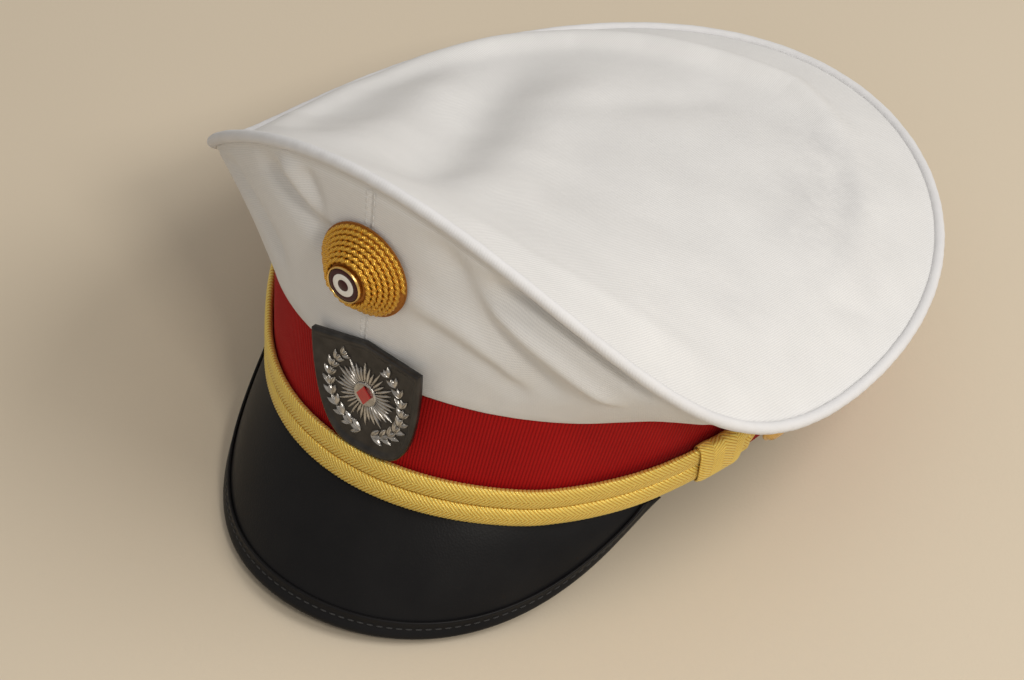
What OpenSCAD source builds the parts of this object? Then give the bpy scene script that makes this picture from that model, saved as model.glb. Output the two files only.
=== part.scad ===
// Military peaked cap: white crown, red ribbed band, gold chin cord and black peak.
// Lengths are in millimetres and angles in degrees. The wearer looks along -Y and +X is the wearer's left.
// The pieces are laid out with the band level and its lower edge at height 0. The whole cap is then
// tipped back, so that it stands on a table on the edge of its peak and the back of its band.
// Angles round the cap start at the front and grow towards the wearer's left.

/* [Band] */
// Half the width of the ribbon's oval at its lower edge
band_half_w = 81; // [77:0.5:86]
// Half the length of the ribbon's oval at its lower edge
band_half_l = 103.4; // [98:0.2:109]
// How far each side of the band leans out at the top
lean_side = 8.8; // [4:0.2:10]
// How far the front and the back of the band lean out at the top
lean_front = 2.9; // [1:0.1:5]
// Share by which the oval is narrower in front than behind
oval_egg = 0.02; // [0:0.005:0.04]
// Height of the crown's hem over the base plane, from which all heights are measured
band_h = 46; // [42:0.5:50]
// Height of the band's lower edge in front
foot_front = 4.5; // [3:0.25:6]
// How much higher the band's lower edge is at the sides and behind
foot_rise = 11.5; // [8:0.25:13]
// Angle at which the band's lower edge starts to rise
foot_from = 46; // [42:1:50]
// Angle over which it rises
foot_over = 38; // [32:1:44]
// How far the ribbon and the stiffener go up behind the hem
band_tuck = 2.5; // [1.5:0.5:4]
// Thickness of the ribbon
ribbon_t = 0.7; // [0.5:0.1:1]
// Thickness of the stiffener
stiffener_t = 1.5; // [1.2:0.1:2]
// Gap between the layers of the band
layer_gap = 0.2; // [0.15:0.05:0.3]

/* [Inside] */
// Thickness of the leather sweatband
sweatband_t = 1; // [0.8:0.1:1.4]
// Height of the sweatband's top edge
sweatband_h = 36; // [34:0.5:38]
// Room between the sweatband and the stiffener
wall_room = 2; // [1.8:0.1:2.6]
// Thickness of the forehead pad
pad_t = 0.9; // [0.6:0.1:1.1]
// Height of the forehead pad's top edge
pad_h = 19; // [12:0.5:20]
// Half the angle that the forehead pad covers
pad_angle = 36; // [20:2:44]
// Thickness of the lining
lining_t = 0.6; // [0.4:0.1:1]
// How far the middle of the lining rises over its edge
lining_rise = 24; // [18:1:28]
// How much higher the lining rises in front
lining_front = 18; // [10:1:22]
// Thickness of the sweat shield
shield_t = 0.4; // [0.3:0.1:0.8]
// Share of the lining that the sweat shield covers
shield_share = 0.52; // [0.4:0.02:0.6]

/* [Crown] */
// Half the width of the crown before its corners are drawn in
crown_half_w = 118.2; // [114:0.2:124]
// Half the length of the crown
crown_half_l = 131.4; // [128:0.2:136]
// How far the crown sits back on the band
crown_back = 6.2; // [2:0.2:10]
// How far the shoulders of the crown are drawn in
crown_shoulder = 7; // [3:0.2:8]
// How much fuller the crown is behind than in front
crown_taper = 1; // [0:0.1:2]
// How far the sides of the piping sit forward of its ends
crown_side_shift = 10.1; // [6:0.1:12]
// How far the crown is pointed at its ends
crown_point = 5.9; // [3:0.1:7]
// Mean height of the piping
rim_h = 68.2; // [66:0.2:72]
// How much higher than that the front is than the back
rim_rise = 19; // [14:0.2:24]
// How far the rim is bent down at its sides
rim_saddle = 22; // [18:0.2:24]
// How sharply the front of the rim stands up
rim_peak = 6; // [3:0.2:7]
// How tight the bends of the rim are
rim_bend = 2.6; // [1:0.1:3.4]
// How far the cloth of the top stands over its rim
dome_h = 10; // [8:0.5:14]
// Thickness of the crown's cloth
cloth_t = 1.2; // [0.9:0.1:1.5]
// How far the cloth of the side and rear quarters hangs down
quarter_sag = 8; // [5:0.5:10]
// Radius of the corded piping
piping_r = 2; // [1.6:0.1:2.4]
// Gap between the piping and the cloth that is sewn to it
seam_gap = 0.25; // [0.2:0.05:0.4]
// Radius of the spring wire that stretches the crown
wire_r = 0.9; // [0.7:0.1:1.1]
// How far inside the piping the wire runs at the front
wire_inset_front = 5; // [4:0.5:8]
// How far inside the piping the wire runs at the back
wire_inset_back = 15; // [12:0.5:18]
// Length of the ferrule that joins the ends of the wire
ferrule_l = 12; // [8:1:16]
// Width of the front stay
stay_w = 10; // [8:0.5:11]
// Thickness of the front stay
stay_t = 1.2; // [0.8:0.1:1.4]

/* [Peak] */
// Half the width of the peak where it is widest
peak_half_w = 75.2; // [72:0.2:77]
// Where the middle of the peak's oval edge lies, from the middle of the band
peak_mid = 20.5; // [18:0.1:23]
// How far the edge of the peak reaches forward of that
peak_reach = 104.5; // [101:0.5:108]
// How far the front of the peak drops under the base plane
peak_drop = 38; // [34:0.5:42]
// How much higher the ends of the peak's edge are than its front
peak_climb = 45; // [41:0.5:47]
// Half the angle that the peak's edge covers
peak_end = 80; // [78:0.5:81]
// How long the peak's edge stays low towards its ends
peak_fall = 3.5; // [2.8:0.1:4]
// Half the angle of the band that the peak is sewn to
peak_root = 66; // [64:0.5:67]
// How far the peak is arched from its root to its edge
peak_arch = 2.5; // [1:0.25:4]
// Thickness of the peak
peak_t = 1.8; // [1.4:0.1:2.2]
// Thickness of the lining under the peak
underlining_t = 0.6; // [0.4:0.1:0.9]
// Width of the binding on the peak's edge
binding_w = 6.5; // [5:0.5:8]
// Thickness of the binding
binding_t = 0.7; // [0.5:0.1:1]

/* [Chin cord] */
// Height of the middle of the chin cord in front
cord_front_h = 8.9; // [8.6:0.1:9.4]
// How much the chin cord rises evenly towards the sides
cord_lean = 6; // [5:0.25:7]
// How much more it rises near the side buttons
cord_rise = 16; // [14:0.5:17]
// Angle at which that rise starts
rise_from = 38; // [34:1:42]
// Angle over which it rises
rise_over = 54; // [50:1:58]
// Width of each of the two braids
braid_w = 7.2; // [6:0.1:7.4]
// Thickness of each braid
braid_t = 3; // [2.6:0.1:3.4]
// Gap between the two braids
braid_gap = 0.3; // [0.2:0.05:0.4]
// Gap between the braids and the ribbon in front
cord_gap = 0.3; // [0.2:0.05:0.5]
// Angle of the side buttons
button_at = 88; // [87:0.5:90]
// Angle of the middle of each slide
slide_at = 75; // [74:0.25:75.5]
// Half the angle that each slide covers
slide_half = 4.5; // [3.5:0.1:4.6]
// Thickness of the slide behind the cord
slide_back_t = 0.8; // [0.6:0.1:1]
// Thickness of the slide in front of the cord
slide_front_t = 1.7; // [1.2:0.1:2.2]
// Gap between the slide and the cord or the ribbon
slide_gap = 0.55; // [0.3:0.05:0.7]
// Radius of the side buttons
button_r = 7.5; // [6.5:0.25:8]
// Height of the side buttons' dome
button_h = 4; // [3:0.25:5]
// Radius of the side buttons' shank
shank_r = 1.2; // [1:0.1:1.4]
// Play between a shank or stud and its hole
hole_play = 0.3; // [0.2:0.05:0.4]
// Radius of the eye at each end of a braid
eye_r = 4.4; // [4:0.2:5]

/* [Cockade] */
// Height of the middle of the cockade
cockade_at = 85; // [80:0.5:88]
// Radius of the cockade
cockade_r = 16; // [14:0.5:16]
// Height of the cockade's cone
cone_h = 8.6; // [7:0.2:10]
// Radius of the cone's flat end
cone_end_r = 6.5; // [6:0.25:7]
// Radius of the gold cord that is wound on the cone
winding_r = 0.7; // [0.5:0.02:0.7]
// Turns of the gold cord
winding_turns = 6; // [5:1:6]
// Radius of the enamel disc
enamel_r = 5.5; // [5:0.1:5.8]
// Outer radius of the white enamel ring
white_outer_r = 3.9; // [3.5:0.1:4.2]
// Inner radius of the white enamel ring
white_inner_r = 1.9; // [1.5:0.1:2.2]

/* [Badge] */
// Half the width of the badge
badge_half_w = 21; // [18:0.5:22]
// Height of the badge under its corners
badge_h = 38.5; // [34:0.5:39]
// How far the top of the badge rises between its corners
badge_rise = 3.3; // [2:0.1:4]
// Height of the badge's corners over the lower edge of the band
badge_at = 55; // [53:0.5:56]
// How far the badge sits to the wearer's left
badge_x = 2.7; // [0:0.1:4]
// How far the foot of the badge is turned to the wearer's left
badge_turn = 5.5; // [0:0.5:7]
// Thickness of the badge's plate
badge_t = 1.6; // [1.2:0.1:2]
// Width of the badge's raised rim
badge_rim_w = 2.4; // [1.6:0.1:3]
// Height of the rim over the plate
badge_rim_h = 1; // [0.6:0.1:1.4]
// Height of the relief over the plate
relief_h = 0.8; // [0.5:0.1:1.2]
// Radius of the studs on the back of the badge
stud_r = 1.1; // [0.9:0.1:1.3]
// Radius of the nuts on the studs
nut_r = 3; // [2.5:0.25:3.4]

/* [Hidden] */
$fn = 64;

// Steps round the cap, and along each piece that goes part of the way round
ring_steps = 72;
crown_steps = 60;
quarter_steps = 14;
quarter_rows = 6;
peak_steps = 36;
peak_rows = 6;
pad_steps = 10;
braid_steps = 20;
end_steps = 6;
end_step = 0.9;

// Gap between pieces that rest on each other
seat_gap = 0.3;
// How much looser the peak's binding sits at its two ends
end_ease = 0.5;
// Gap between a hard piece and the flat face that it is held against
press_gap = 0.05;

// Outward places of the band's layers, measured from the face of the ribbon
stiffener_out = -ribbon_t - layer_gap;
stiffener_in = stiffener_out - stiffener_t;
sweatband_out = stiffener_in - wall_room;
sweatband_in = sweatband_out - sweatband_t;
hem_out = seat_gap + cloth_t;
ribbon_top = band_h + band_tuck;
stiffener_foot = 0.5;
sweatband_foot = 0.4;

// ---- Vectors ----

function unit(v) = v / norm(v);
function mix(a, b, s) = a * (1 - s) + b * s;
function clamp(x) = min(1, max(0, x));
function smooth(x) = let (s = clamp(x)) s * s * (3 - 2 * s);
function total(v) = v * [for (i = v) 1];

// A closed skin over sections that all have the same even number of points. Each section is a loop.
// Where the row of sections is not closed, each end gets a cap between the two halves of its loop.
module loft(sections, closed = false) {
    rows = len(sections);
    cols = len(sections[0]);
    half = cols / 2;
    last = closed ? rows - 1 : rows - 2;
    points = [for (section = sections) each section];
    sides = [for (i = [0:last], j = [0:cols - 1])
        let (k = (i + 1) % rows, m = (j + 1) % cols)
        each [[i * cols + j, k * cols + j, k * cols + m], [i * cols + j, k * cols + m, i * cols + m]]];
    caps = closed ? [] : [for (e = [0, rows - 1], j = [0:half - 2])
        let (a = e * cols + j, b = a + 1, c = e * cols + cols - 2 - j, d = c + 1)
        each e == 0 ? [[a, b, c], [a, c, d]] : [[a, c, b], [a, d, c]]];
    faces = concat(sides, caps);
    volume = total([for (f = faces) cross(points[f[0]], points[f[1]]) * points[f[2]]]);
    polyhedron(points, volume < 0 ? faces : [for (f = faces) [f[0], f[2], f[1]]], convexity = 8);
}

// A rectangle with chamfered corners, as a loop of eight points, half sizes w and t
function chamfered(w, t) = [[w, t * 0.45], [w * 0.76, t], [-w * 0.76, t], [-w, t * 0.45],
    [-w, -t * 0.45], [-w * 0.76, -t], [w * 0.76, -t], [w, -t * 0.45]];

// A circle of n points as a loop
function round_loop(r, n) = [for (i = [0:n - 1]) [r * cos(360 * i / n), r * sin(360 * i / n)]];

// A flat loop set into space at centre c, with its axes along p and q
function set_loop(loop, c, p, q) = [for (a = loop) c + p * a[0] + q * a[1]];

// ---- The cap's lie on the table ----

function tipped_y(p, a) = p[1] * cos(a) + p[2] * sin(a);
binding_under = peak_t + underlining_t + binding_t + 3 * layer_gap;
edge_feet = [for (i = [0:40]) peak_pt(i / 20 - 1, 1, -binding_under)];
edge_noses = [for (i = [0:40]) peak_pt(i / 20 - 1, 1, layer_gap)];
band_back = oval_pt(band_foot(180), 0, 180);
lie_tip = max([for (p = edge_feet) atan2(band_back[2] - p[2], band_back[1] - p[1])]);
lie_z = band_back[1] * sin(lie_tip) - band_back[2] * cos(lie_tip);
lie_back = max([for (i = [0:72]) tipped_y(rim_pt(5 * i), lie_tip)]) + piping_r;
lie_front = min([for (p = edge_noses) tipped_y(p, lie_tip)]);

module laid() {
    translate([0, -(lie_back + lie_front) / 2, lie_z]) rotate([-lie_tip, 0, 0]) children();
}

// ---- Band ----

// A point of the band's leaning oval, at height z and a distance out from the ribbon's face
function oval_pt(z, out, t) = let (
    a = band_half_w + lean_side * z / band_h + out,
    b = band_half_l + lean_front * z / band_h + out)
    [a * sin(t) * (1 - oval_egg * cos(t)), -b * cos(t), z];

// Height of the band's lower edge
function band_foot(t) = foot_front + foot_rise * smooth((acos(cos(t)) - foot_from) / foot_over);

// A layer's cross-section, from a distance over the band's lower edge up to a height
function layer_loop(lift, top, out, inner, t) = let (foot = band_foot(t) + lift)
    [oval_pt(top, out, t), oval_pt(foot, out, t), oval_pt(foot, inner, t), oval_pt(top, inner, t)];

module band_layer(lift, top, out, inner) {
    loft([for (i = [0:ring_steps - 1]) layer_loop(lift, top, out, inner, 360 * i / ring_steps)], true);
}

module band_ribbon() {
    color("firebrick") laid() difference() {
        band_layer(0, ribbon_top, 0, -ribbon_t);
        shank_holes();
        stud_holes();
    }
}

module band_stiffener() {
    color("tan") laid() difference() {
        band_layer(stiffener_foot, ribbon_top, stiffener_out, stiffener_in);
        shank_holes();
        stud_holes();
    }
}

module sweatband() {
    color("saddlebrown") laid() band_layer(sweatband_foot, sweatband_h, sweatband_out, sweatband_in);
}

// The pad fills the room behind the sweatband at the forehead
module forehead_pad() {
    pad_out = sweatband_out + seat_gap + pad_t;
    color("gray") laid() loft([for (i = [0:pad_steps])
        layer_loop(sweatband_foot, pad_h, pad_out, sweatband_out + seat_gap,
            pad_angle * (2 * i / pad_steps - 1))]);
}

// ---- Crown ----

// The middle of the piping
function rim_pt(t) = [
    crown_half_w * sin(t) - crown_taper * sin(2 * t) + crown_shoulder * sin(3 * t),
    crown_back - crown_half_l * cos(t) + crown_side_shift * cos(2 * t) - crown_point * cos(3 * t),
    top_z(1, t)];

// Height of the top's cloth at share f of the way out to the piping: a film stretched over the
// bent rim, with a dome that falls off towards the piping
function top_z(f, t) = rim_h + rim_rise * f * cos(t) + rim_saddle * pow(f, 2) * cos(2 * t)
    + rim_peak * pow(f, 3) * cos(3 * t) + rim_bend * pow(f, 4) * cos(4 * t) + dome_h * (1 - pow(f, 4));

// A point of the top's cloth, a distance below its face
function top_pt(f, t, below) = let (p = rim_pt(t)) [p[0] * f, p[1] * f, top_z(f, t) - below];

// Share of the way out at which a point lies a distance inside the piping
function inset_share(t, inset) = let (p = rim_pt(t)) 1 - inset / norm([p[0], p[1]]);

module crown_top() {
    shares = [0.1, 0.3, 0.5, 0.66, 0.8, 0.91, 1];
    rows = len(shares);
    function ring(s, below) = [for (i = [0:crown_steps - 1])
        let (t = 360 * i / crown_steps)
        top_pt(s * inset_share(t, piping_r + seam_gap), t, below)];
    color("white") laid() loft(concat(
        [for (k = [0:rows - 1]) ring(shares[k], cloth_t)],
        [for (k = [rows - 1:-1:0]) ring(shares[k], 0)]));
}

// How much the cloth of the quarters sags, from none at the front to all of it at the sides
function sag(t) = quarter_sag * smooth((1 - cos(t)) * 0.9);

// Outer face of the quarters, from the hem (v = 0) to the piping (v = 1)
function quarter_pt(t, v) = let (
    hem = oval_pt(band_h, hem_out, t),
    rim = rim_pt(t),
    knee = (hem + rim) / 2 - [0, 0, sag(t)],
    top = rim + unit(knee - rim) * (piping_r + seam_gap))
    hem * pow(1 - v, 2) + knee * 2 * v * (1 - v) + top * pow(v, 2);

function quarter_normal(t, v) = unit(cross(
    quarter_pt(t + 0.5, v) - quarter_pt(t - 0.5, v), quarter_pt(t, v + 0.02) - quarter_pt(t, v - 0.02)));

function quarter_loop(t) = concat(
    [for (k = [quarter_rows:-1:0]) quarter_pt(t, k / quarter_rows)],
    [for (k = [0:quarter_rows]) let (v = k / quarter_rows) quarter_pt(t, v) - quarter_normal(t, v) * cloth_t]);

module quarter(from, to) {
    // Half the gap in the seams between the quarters
    seam = 0.06;
    loft([for (i = [0:quarter_steps]) quarter_loop(mix(from + seam, to - seam, i / quarter_steps))]);
}

module quarter_front_left() {
    color("white") laid() difference() {
        quarter(0, 90);
        prong_slots();
    }
}

module quarter_front_right() {
    color("white") laid() difference() {
        quarter(-90, 0);
        prong_slots();
    }
}

module quarter_rear_left() { color("white") laid() quarter(90, 180); }
module quarter_rear_right() { color("white") laid() quarter(180, 270); }

// A round bar that goes right round the crown along function-like lists of points
module crown_bar(path, r, sides) {
    n = len(path);
    loft([for (i = [0:n - 1])
        let (along = unit(path[(i + 1) % n] - path[(i + n - 1) % n]),
            side = unit(cross(along, [0, 0, 1])),
            up = cross(side, along))
        set_loop(round_loop(r, sides), path[i], side, up)], true);
}

module crown_piping() {
    color("white") laid()
        crown_bar([for (i = [0:ring_steps - 1]) rim_pt(360 * i / ring_steps)], piping_r, 8);
}

// The wire runs under the top's cloth, further inside the piping at the back
function wire_inset(t) = mix(wire_inset_front, wire_inset_back, (1 - cos(t)) / 2);
ferrule_bore = wire_r + 0.4;
ferrule_wall = 0.4;
function wire_pt(t) = top_pt(inset_share(t, wire_inset(t)), t, cloth_t + 2 * seat_gap + ferrule_bore + ferrule_wall);

module crown_wire() {
    color("silver") laid()
        crown_bar([for (i = [0:crown_steps - 1]) wire_pt(360 * i / crown_steps)], wire_r, 6);
}

module wire_ferrule() {
    color("silver") laid() translate(wire_pt(180)) rotate([0, 90, 0]) difference() {
        cylinder(h = ferrule_l, r = ferrule_bore + ferrule_wall, center = true);
        cylinder(h = ferrule_l + 1, r = ferrule_bore, center = true);
    }
}

// The stay stands inside the front seam, from the band's wall up to the wire
module front_stay() {
    stay_foot = sweatband_h + 5;
    lower = [stay_foot, ribbon_top - 1];
    shares = [0.22, 0.4, 0.6, 0.8, 0.9];
    face = concat(
        [for (z = lower) let (p = oval_pt(z, stiffener_in - seat_gap, 0)) [p[1], p[2]]],
        [for (v = shares) let (p = quarter_pt(0, v) - quarter_normal(0, v) * (cloth_t + seat_gap)) [p[1], p[2]]]);
    n = len(face);
    back = [for (i = [0:n - 1])
        let (a = face[max(i - 1, 0)], b = face[min(i + 1, n - 1)], d = unit(b - a))
        face[i] + [d[1], -d[0]] * stay_t];
    color("silver") laid() rotate([90, 0, 90]) translate([0, 0, -stay_w / 2]) linear_extrude(stay_w)
        polygon(concat(face, [for (i = [n - 1:-1:0]) back[i]]));
}

// The lining's face at share g of the way out to its edge, which is sewn over the sweatband
function lining_pt(g, t, below) = let (
    edge_z = sweatband_h + seat_gap,
    p = oval_pt(edge_z, sweatband_out - seat_gap, t))
    [p[0] * g, p[1] * g, edge_z + (1 - pow(g, 3)) * (lining_rise + lining_front * g * cos(t)) + lining_t - below];

lining_shares = [0.08, 0.3, shield_share, 0.7, 0.86, 1];

module lining_shell(shares, below, thick) {
    rows = len(shares);
    function ring(s, d) = [for (i = [0:crown_steps - 1]) lining_pt(s, 360 * i / crown_steps, d)];
    loft(concat([for (k = [0:rows - 1]) ring(shares[k], below + thick)],
        [for (k = [rows - 1:-1:0]) ring(shares[k], below)]));
}

module lining() { color("ivory") laid() lining_shell(lining_shares, 0, lining_t); }

module sweat_shield() {
    color("lightgray") laid()
        lining_shell([for (k = [0:2]) lining_shares[k]], lining_t + seat_gap, shield_t);
}

// ---- Peak ----

function peak_edge_pt(t) = [peak_half_w * sin(t), -peak_mid - peak_reach * cos(t),
    peak_climb * pow(abs(t) / peak_end, peak_fall) - peak_drop];
function peak_root_pt(t) = oval_pt(band_foot(t) - seat_gap, stiffener_in, t);
function peak_flat_pt(s, v) = mix(peak_root_pt(s * peak_root), peak_edge_pt(s * peak_end), v);

function peak_normal(s, v) = unit(cross(
    peak_flat_pt(s, min(v + 0.02, 1)) - peak_flat_pt(s, v - 0.02), peak_flat_pt(s + 0.01, v) - peak_flat_pt(s - 0.01, v)));

// A point of the peak, from its root (v = 0) to its edge (v = 1), s from -1 to 1 across, lifted off its face
function peak_pt(s, v, lift) = peak_flat_pt(s, v) + peak_normal(s, v) * (peak_arch * 4 * v * (1 - v) + lift);

// Share of the peak's depth that a distance in from its edge makes
function edge_share(s, d) = let (depth = norm(peak_flat_pt(s, 1) - peak_flat_pt(s, 0))) min(d / depth, 0.75);

// The stations across the peak stand closer together towards its ends, where its edge turns up
function peak_station(i) = let (u = 2 * i / peak_steps - 1) mix(u, sin(90 * u), 0.75);

// The rows of a sheet run from the root to the binding's mouth, and on to where the sheet stops inside it
function sheet_rows(s, stop) = [for (k = [0:peak_rows])
    k < peak_rows ? (1 - edge_share(s, binding_w)) * k / (peak_rows - 1) : 1 - edge_share(s, stop)];

module peak_sheet(top, bottom, stop) {
    loft([for (i = [0:peak_steps]) let (s = peak_station(i), rows = sheet_rows(s, stop)) concat(
        [for (k = [0:peak_rows]) peak_pt(s, rows[k], top)],
        [for (k = [peak_rows:-1:0]) peak_pt(s, rows[k], bottom)])]);
}

module peak() { color("black") laid() peak_sheet(0, -peak_t, binding_t + layer_gap); }

module peak_underlining() {
    under_top = -peak_t - layer_gap;
    color("dimgray") laid() peak_sheet(under_top, under_top - underlining_t, binding_t + layer_gap);
}

// The binding grips the edge of the peak and its underlining like a letter U, a little looser at its ends
module peak_binding() {
    round_off = 0.8;
    color("black") laid() loft([for (i = [0:peak_steps])
        let (s = peak_station(i),
            start = 1 - edge_share(s, binding_w),
            bend = 1 - edge_share(s, round_off),
            floor_v = 1 - edge_share(s, binding_t),
            ease = end_ease * pow(abs(s), 6),
            grip_top = layer_gap + ease,
            grip_under = -peak_t - underlining_t - 2 * layer_gap - ease,
            under = -binding_under - ease)
        [peak_pt(s, start, grip_top + binding_t), peak_pt(s, bend, grip_top + binding_t),
            peak_pt(s, 1, grip_top), peak_pt(s, 1, grip_under), peak_pt(s, bend, under),
            peak_pt(s, start, under),
            peak_pt(s, start, grip_under), peak_pt(s, bend, grip_under), peak_pt(s, floor_v, grip_under + 0.1),
            peak_pt(s, floor_v, grip_top - 0.1), peak_pt(s, bend, grip_top), peak_pt(s, start, grip_top)]]);
}

// ---- Chin cord ----

cord_half_w = braid_w + braid_gap / 2;
slide_room = slide_back_t + 2 * slide_gap - cord_gap;
room_from = 44;
room_to = 64;
braid_end = button_at - 1.9;
thin_from = braid_end - 4.3;
thin_to = braid_end - 2.7;
stack_to = braid_end - 0.5;
stack_gap = 0.1;
stacked_w = 5;

function cord_z(t) = cord_front_h + cord_lean * (1 - cos(t))
    + cord_rise * smooth((abs(t) - rise_from) / rise_over);
function cord_out(t) = cord_gap + braid_t / 2 + slide_room * smooth((abs(t) - room_from) / (room_to - room_from));
function cord_pt(t) = oval_pt(cord_z(t), cord_out(t), t);
function cord_along(t) = unit(cord_pt(t + 0.5) - cord_pt(t - 0.5));
function cord_up(t) = let (
    up = oval_pt(cord_z(t) + 1, cord_out(t), t) - oval_pt(cord_z(t) - 1, cord_out(t), t),
    along = cord_along(t))
    unit(up - along * (up * along));
function cord_face(t) = cross(cord_along(t), cord_up(t));

// A braid beside the other one in front. At its ends it gets thin, and then lies over or under the other.
function braid_loop(t, side) = let (
    thin = smooth((abs(t) - thin_from) / (thin_to - thin_from)),
    stack = smooth((abs(t) - thin_to) / (stack_to - thin_to)),
    c = cord_pt(t) + cord_up(t) * side * mix((braid_w + braid_gap) / 2, 0, stack)
        + cord_face(t) * side * (braid_t + stack_gap) / 4 * thin)
    set_loop(chamfered(mix(braid_w, stacked_w, stack) / 2, mix(braid_t, braid_t / 2 - stack_gap / 2, thin) / 2),
        c, cord_up(t), cord_face(t));

// Place a piece with its Z axis out of the band at angle t, and its origin on the ribbon's face
module on_band(t) {
    p = oval_pt(cord_z(t), 0, t);
    n = cord_face(t);
    translate(p) rotate([0, acos(n[2]), atan2(n[1], n[0])]) children();
}

module braid(side) {
    // Short steps near the ends, and longer ones between
    ends = [for (i = [0:end_steps]) braid_end - end_step * i];
    middle = [for (i = [1 - braid_steps:braid_steps - 1]) ends[end_steps] * i / braid_steps];
    steps = concat([for (t = ends) -t], middle, [for (i = [end_steps:-1:0]) ends[i]]);
    loft([for (t = steps) braid_loop(t, side)]);
    eye_t = braid_t / 2 - stack_gap / 2;
    for (t = [-button_at, button_at])
        on_band(t) translate([0, 0, cord_out(t) + side * (eye_t + stack_gap) / 2])
            difference() {
                cylinder(h = eye_t, r = eye_r, center = true);
                cylinder(h = eye_t + 1, r = shank_r + hole_play, center = true);
            }
}

module chin_cord_upper() { color("gold") laid() braid(1); }
module chin_cord_lower() { color("gold") laid() braid(-1); }

// The slide is a sleeve round both braids. Its skin runs along the outside and back along the bore.
module cord_slide(side) {
    steps = [for (i = [-3:3]) side * (slide_at + slide_half * i / 3)];
    wide = cord_half_w + slide_gap;
    thick = braid_t / 2 + slide_gap;
    wall = slide_front_t;
    shift = (slide_front_t - slide_back_t) / 2;
    outer = chamfered(wide + wall, thick + (slide_front_t + slide_back_t) / 2);
    bore = chamfered(wide, thick);
    loft(concat(
        [for (t = steps) set_loop(outer, cord_pt(t) + cord_face(t) * shift, cord_up(t), cord_face(t))],
        [for (i = [len(steps) - 1:-1:0]) set_loop(bore, cord_pt(steps[i]), cord_up(steps[i]), cord_face(steps[i]))]),
        true);
}

module cord_slide_left() { color("goldenrod") laid() cord_slide(1); }
module cord_slide_right() { color("goldenrod") laid() cord_slide(-1); }

washer_t = 0.5;
head_t = 0.4;
shank_foot = stiffener_in - seat_gap - washer_t - press_gap - head_t;
dome_foot = cord_out(button_at) + braid_t / 2 + seat_gap;

module shank_holes() {
    for (t = [-button_at, button_at])
        on_band(t) translate([0, 0, stiffener_in - 1])
            cylinder(h = 1 + cord_gap - stiffener_in, r = shank_r + hole_play);
}

module side_button(t) {
    button_rim = 1;
    crown_r = (pow(button_r, 2) + pow(button_h - button_rim, 2)) / (2 * (button_h - button_rim));
    on_band(t) {
        translate([0, 0, dome_foot]) cylinder(h = button_rim, r = button_r);
        translate([0, 0, dome_foot + button_rim]) intersection() {
            translate([0, 0, button_h - button_rim - crown_r]) sphere(r = crown_r);
            cylinder(h = button_h, r = button_r);
        }
        translate([0, 0, shank_foot]) cylinder(h = dome_foot - shank_foot + 0.5, r = shank_r);
        translate([0, 0, shank_foot]) cylinder(h = head_t, r = shank_r + 0.9);
    }
}

module side_button_left() { color("gold") laid() side_button(button_at); }
module side_button_right() { color("gold") laid() side_button(-button_at); }

module side_button_washers() {
    washer_r = 4;
    color("silver") laid() for (t = [-button_at, button_at])
        on_band(t) translate([0, 0, stiffener_in - seat_gap - washer_t]) difference() {
            cylinder(h = washer_t, r = washer_r);
            translate([0, 0, -1]) cylinder(h = washer_t + 2, r = shank_r + hole_play);
        }
}

// ---- Cockade ----

// Place a piece with its Z axis out of the front seam and its Y axis up it, at a height
front_lean = atan2(-rim_pt(0)[1] - (-oval_pt(band_h, hem_out, 0)[1]), rim_pt(0)[2] - band_h);
front_y = mix(oval_pt(band_h, hem_out, 0)[1], rim_pt(0)[1], (cockade_at - band_h) / (rim_pt(0)[2] - band_h));

module on_front() {
    translate([0, front_y, cockade_at]) rotate([90 + front_lean, 0, 0]) children();
}

plate_t = 0.6;
plate_foot = seat_gap;
cone_foot = plate_foot + plate_t;
cone_top = cone_foot + cone_h;
prong_x = stay_w / 2 + 3;
prong_w = 3;
prong_t = 0.5;
prong_depth = cloth_t + 1.4;

module prong_slots() {
    on_front() for (x = [-prong_x, prong_x])
        translate([x, 0, -cloth_t - 1])
            cube([prong_t + 2 * hole_play, prong_w + 2 * hole_play, 2 * cloth_t + 4], center = true);
}

// The back plate has two prongs that go through the cloth and are bent apart behind it
module cockade_back_plate() {
    prong_l = 5;
    color("gold") laid() on_front() {
        translate([0, 0, plate_foot]) cylinder(h = plate_t, r = cockade_r - 1);
        for (side = [-1, 1]) {
            translate([side * prong_x, 0, (plate_foot - prong_depth) / 2])
                cube([prong_t, prong_w, prong_depth + plate_foot + 0.2], center = true);
            translate([side * (prong_x + (prong_l - prong_t) / 2), 0, -prong_depth - prong_t / 2])
                cube([prong_l, prong_w, prong_t], center = true);
        }
    }
}

module cockade_cone() {
    color("goldenrod") laid() on_front() {
        translate([0, 0, cone_foot]) cylinder(h = plate_t, r = cockade_r);
        translate([0, 0, cone_foot + plate_t])
            cylinder(h = cone_h - plate_t, r1 = cockade_r - 0.4, r2 = cone_end_r);
    }
}

// The winding climbs the cone from its foot to its end
cone_side = unit([cone_h - plate_t, cockade_r - 0.4 - cone_end_r]);
winding_steps = 24 * winding_turns;
winding_path = [for (i = [0:winding_steps])
    let (s = mix(0.05, 0.97, i / winding_steps),
        off = winding_r + 0.12,
        r = mix(cockade_r - 0.4, cone_end_r, s) + cone_side[0] * off,
        z = cone_foot + plate_t + (cone_h - plate_t) * s + cone_side[1] * off,
        t = 360 * winding_turns * i / winding_steps)
    [r * cos(t), r * sin(t), z]];
winding_gap = min([for (i = [0:winding_steps - 28], k = [20:28]) norm(winding_path[i] - winding_path[i + k])])
    - 2 * winding_r;
echo("Least gap of the winding to itself", winding_gap);

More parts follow.
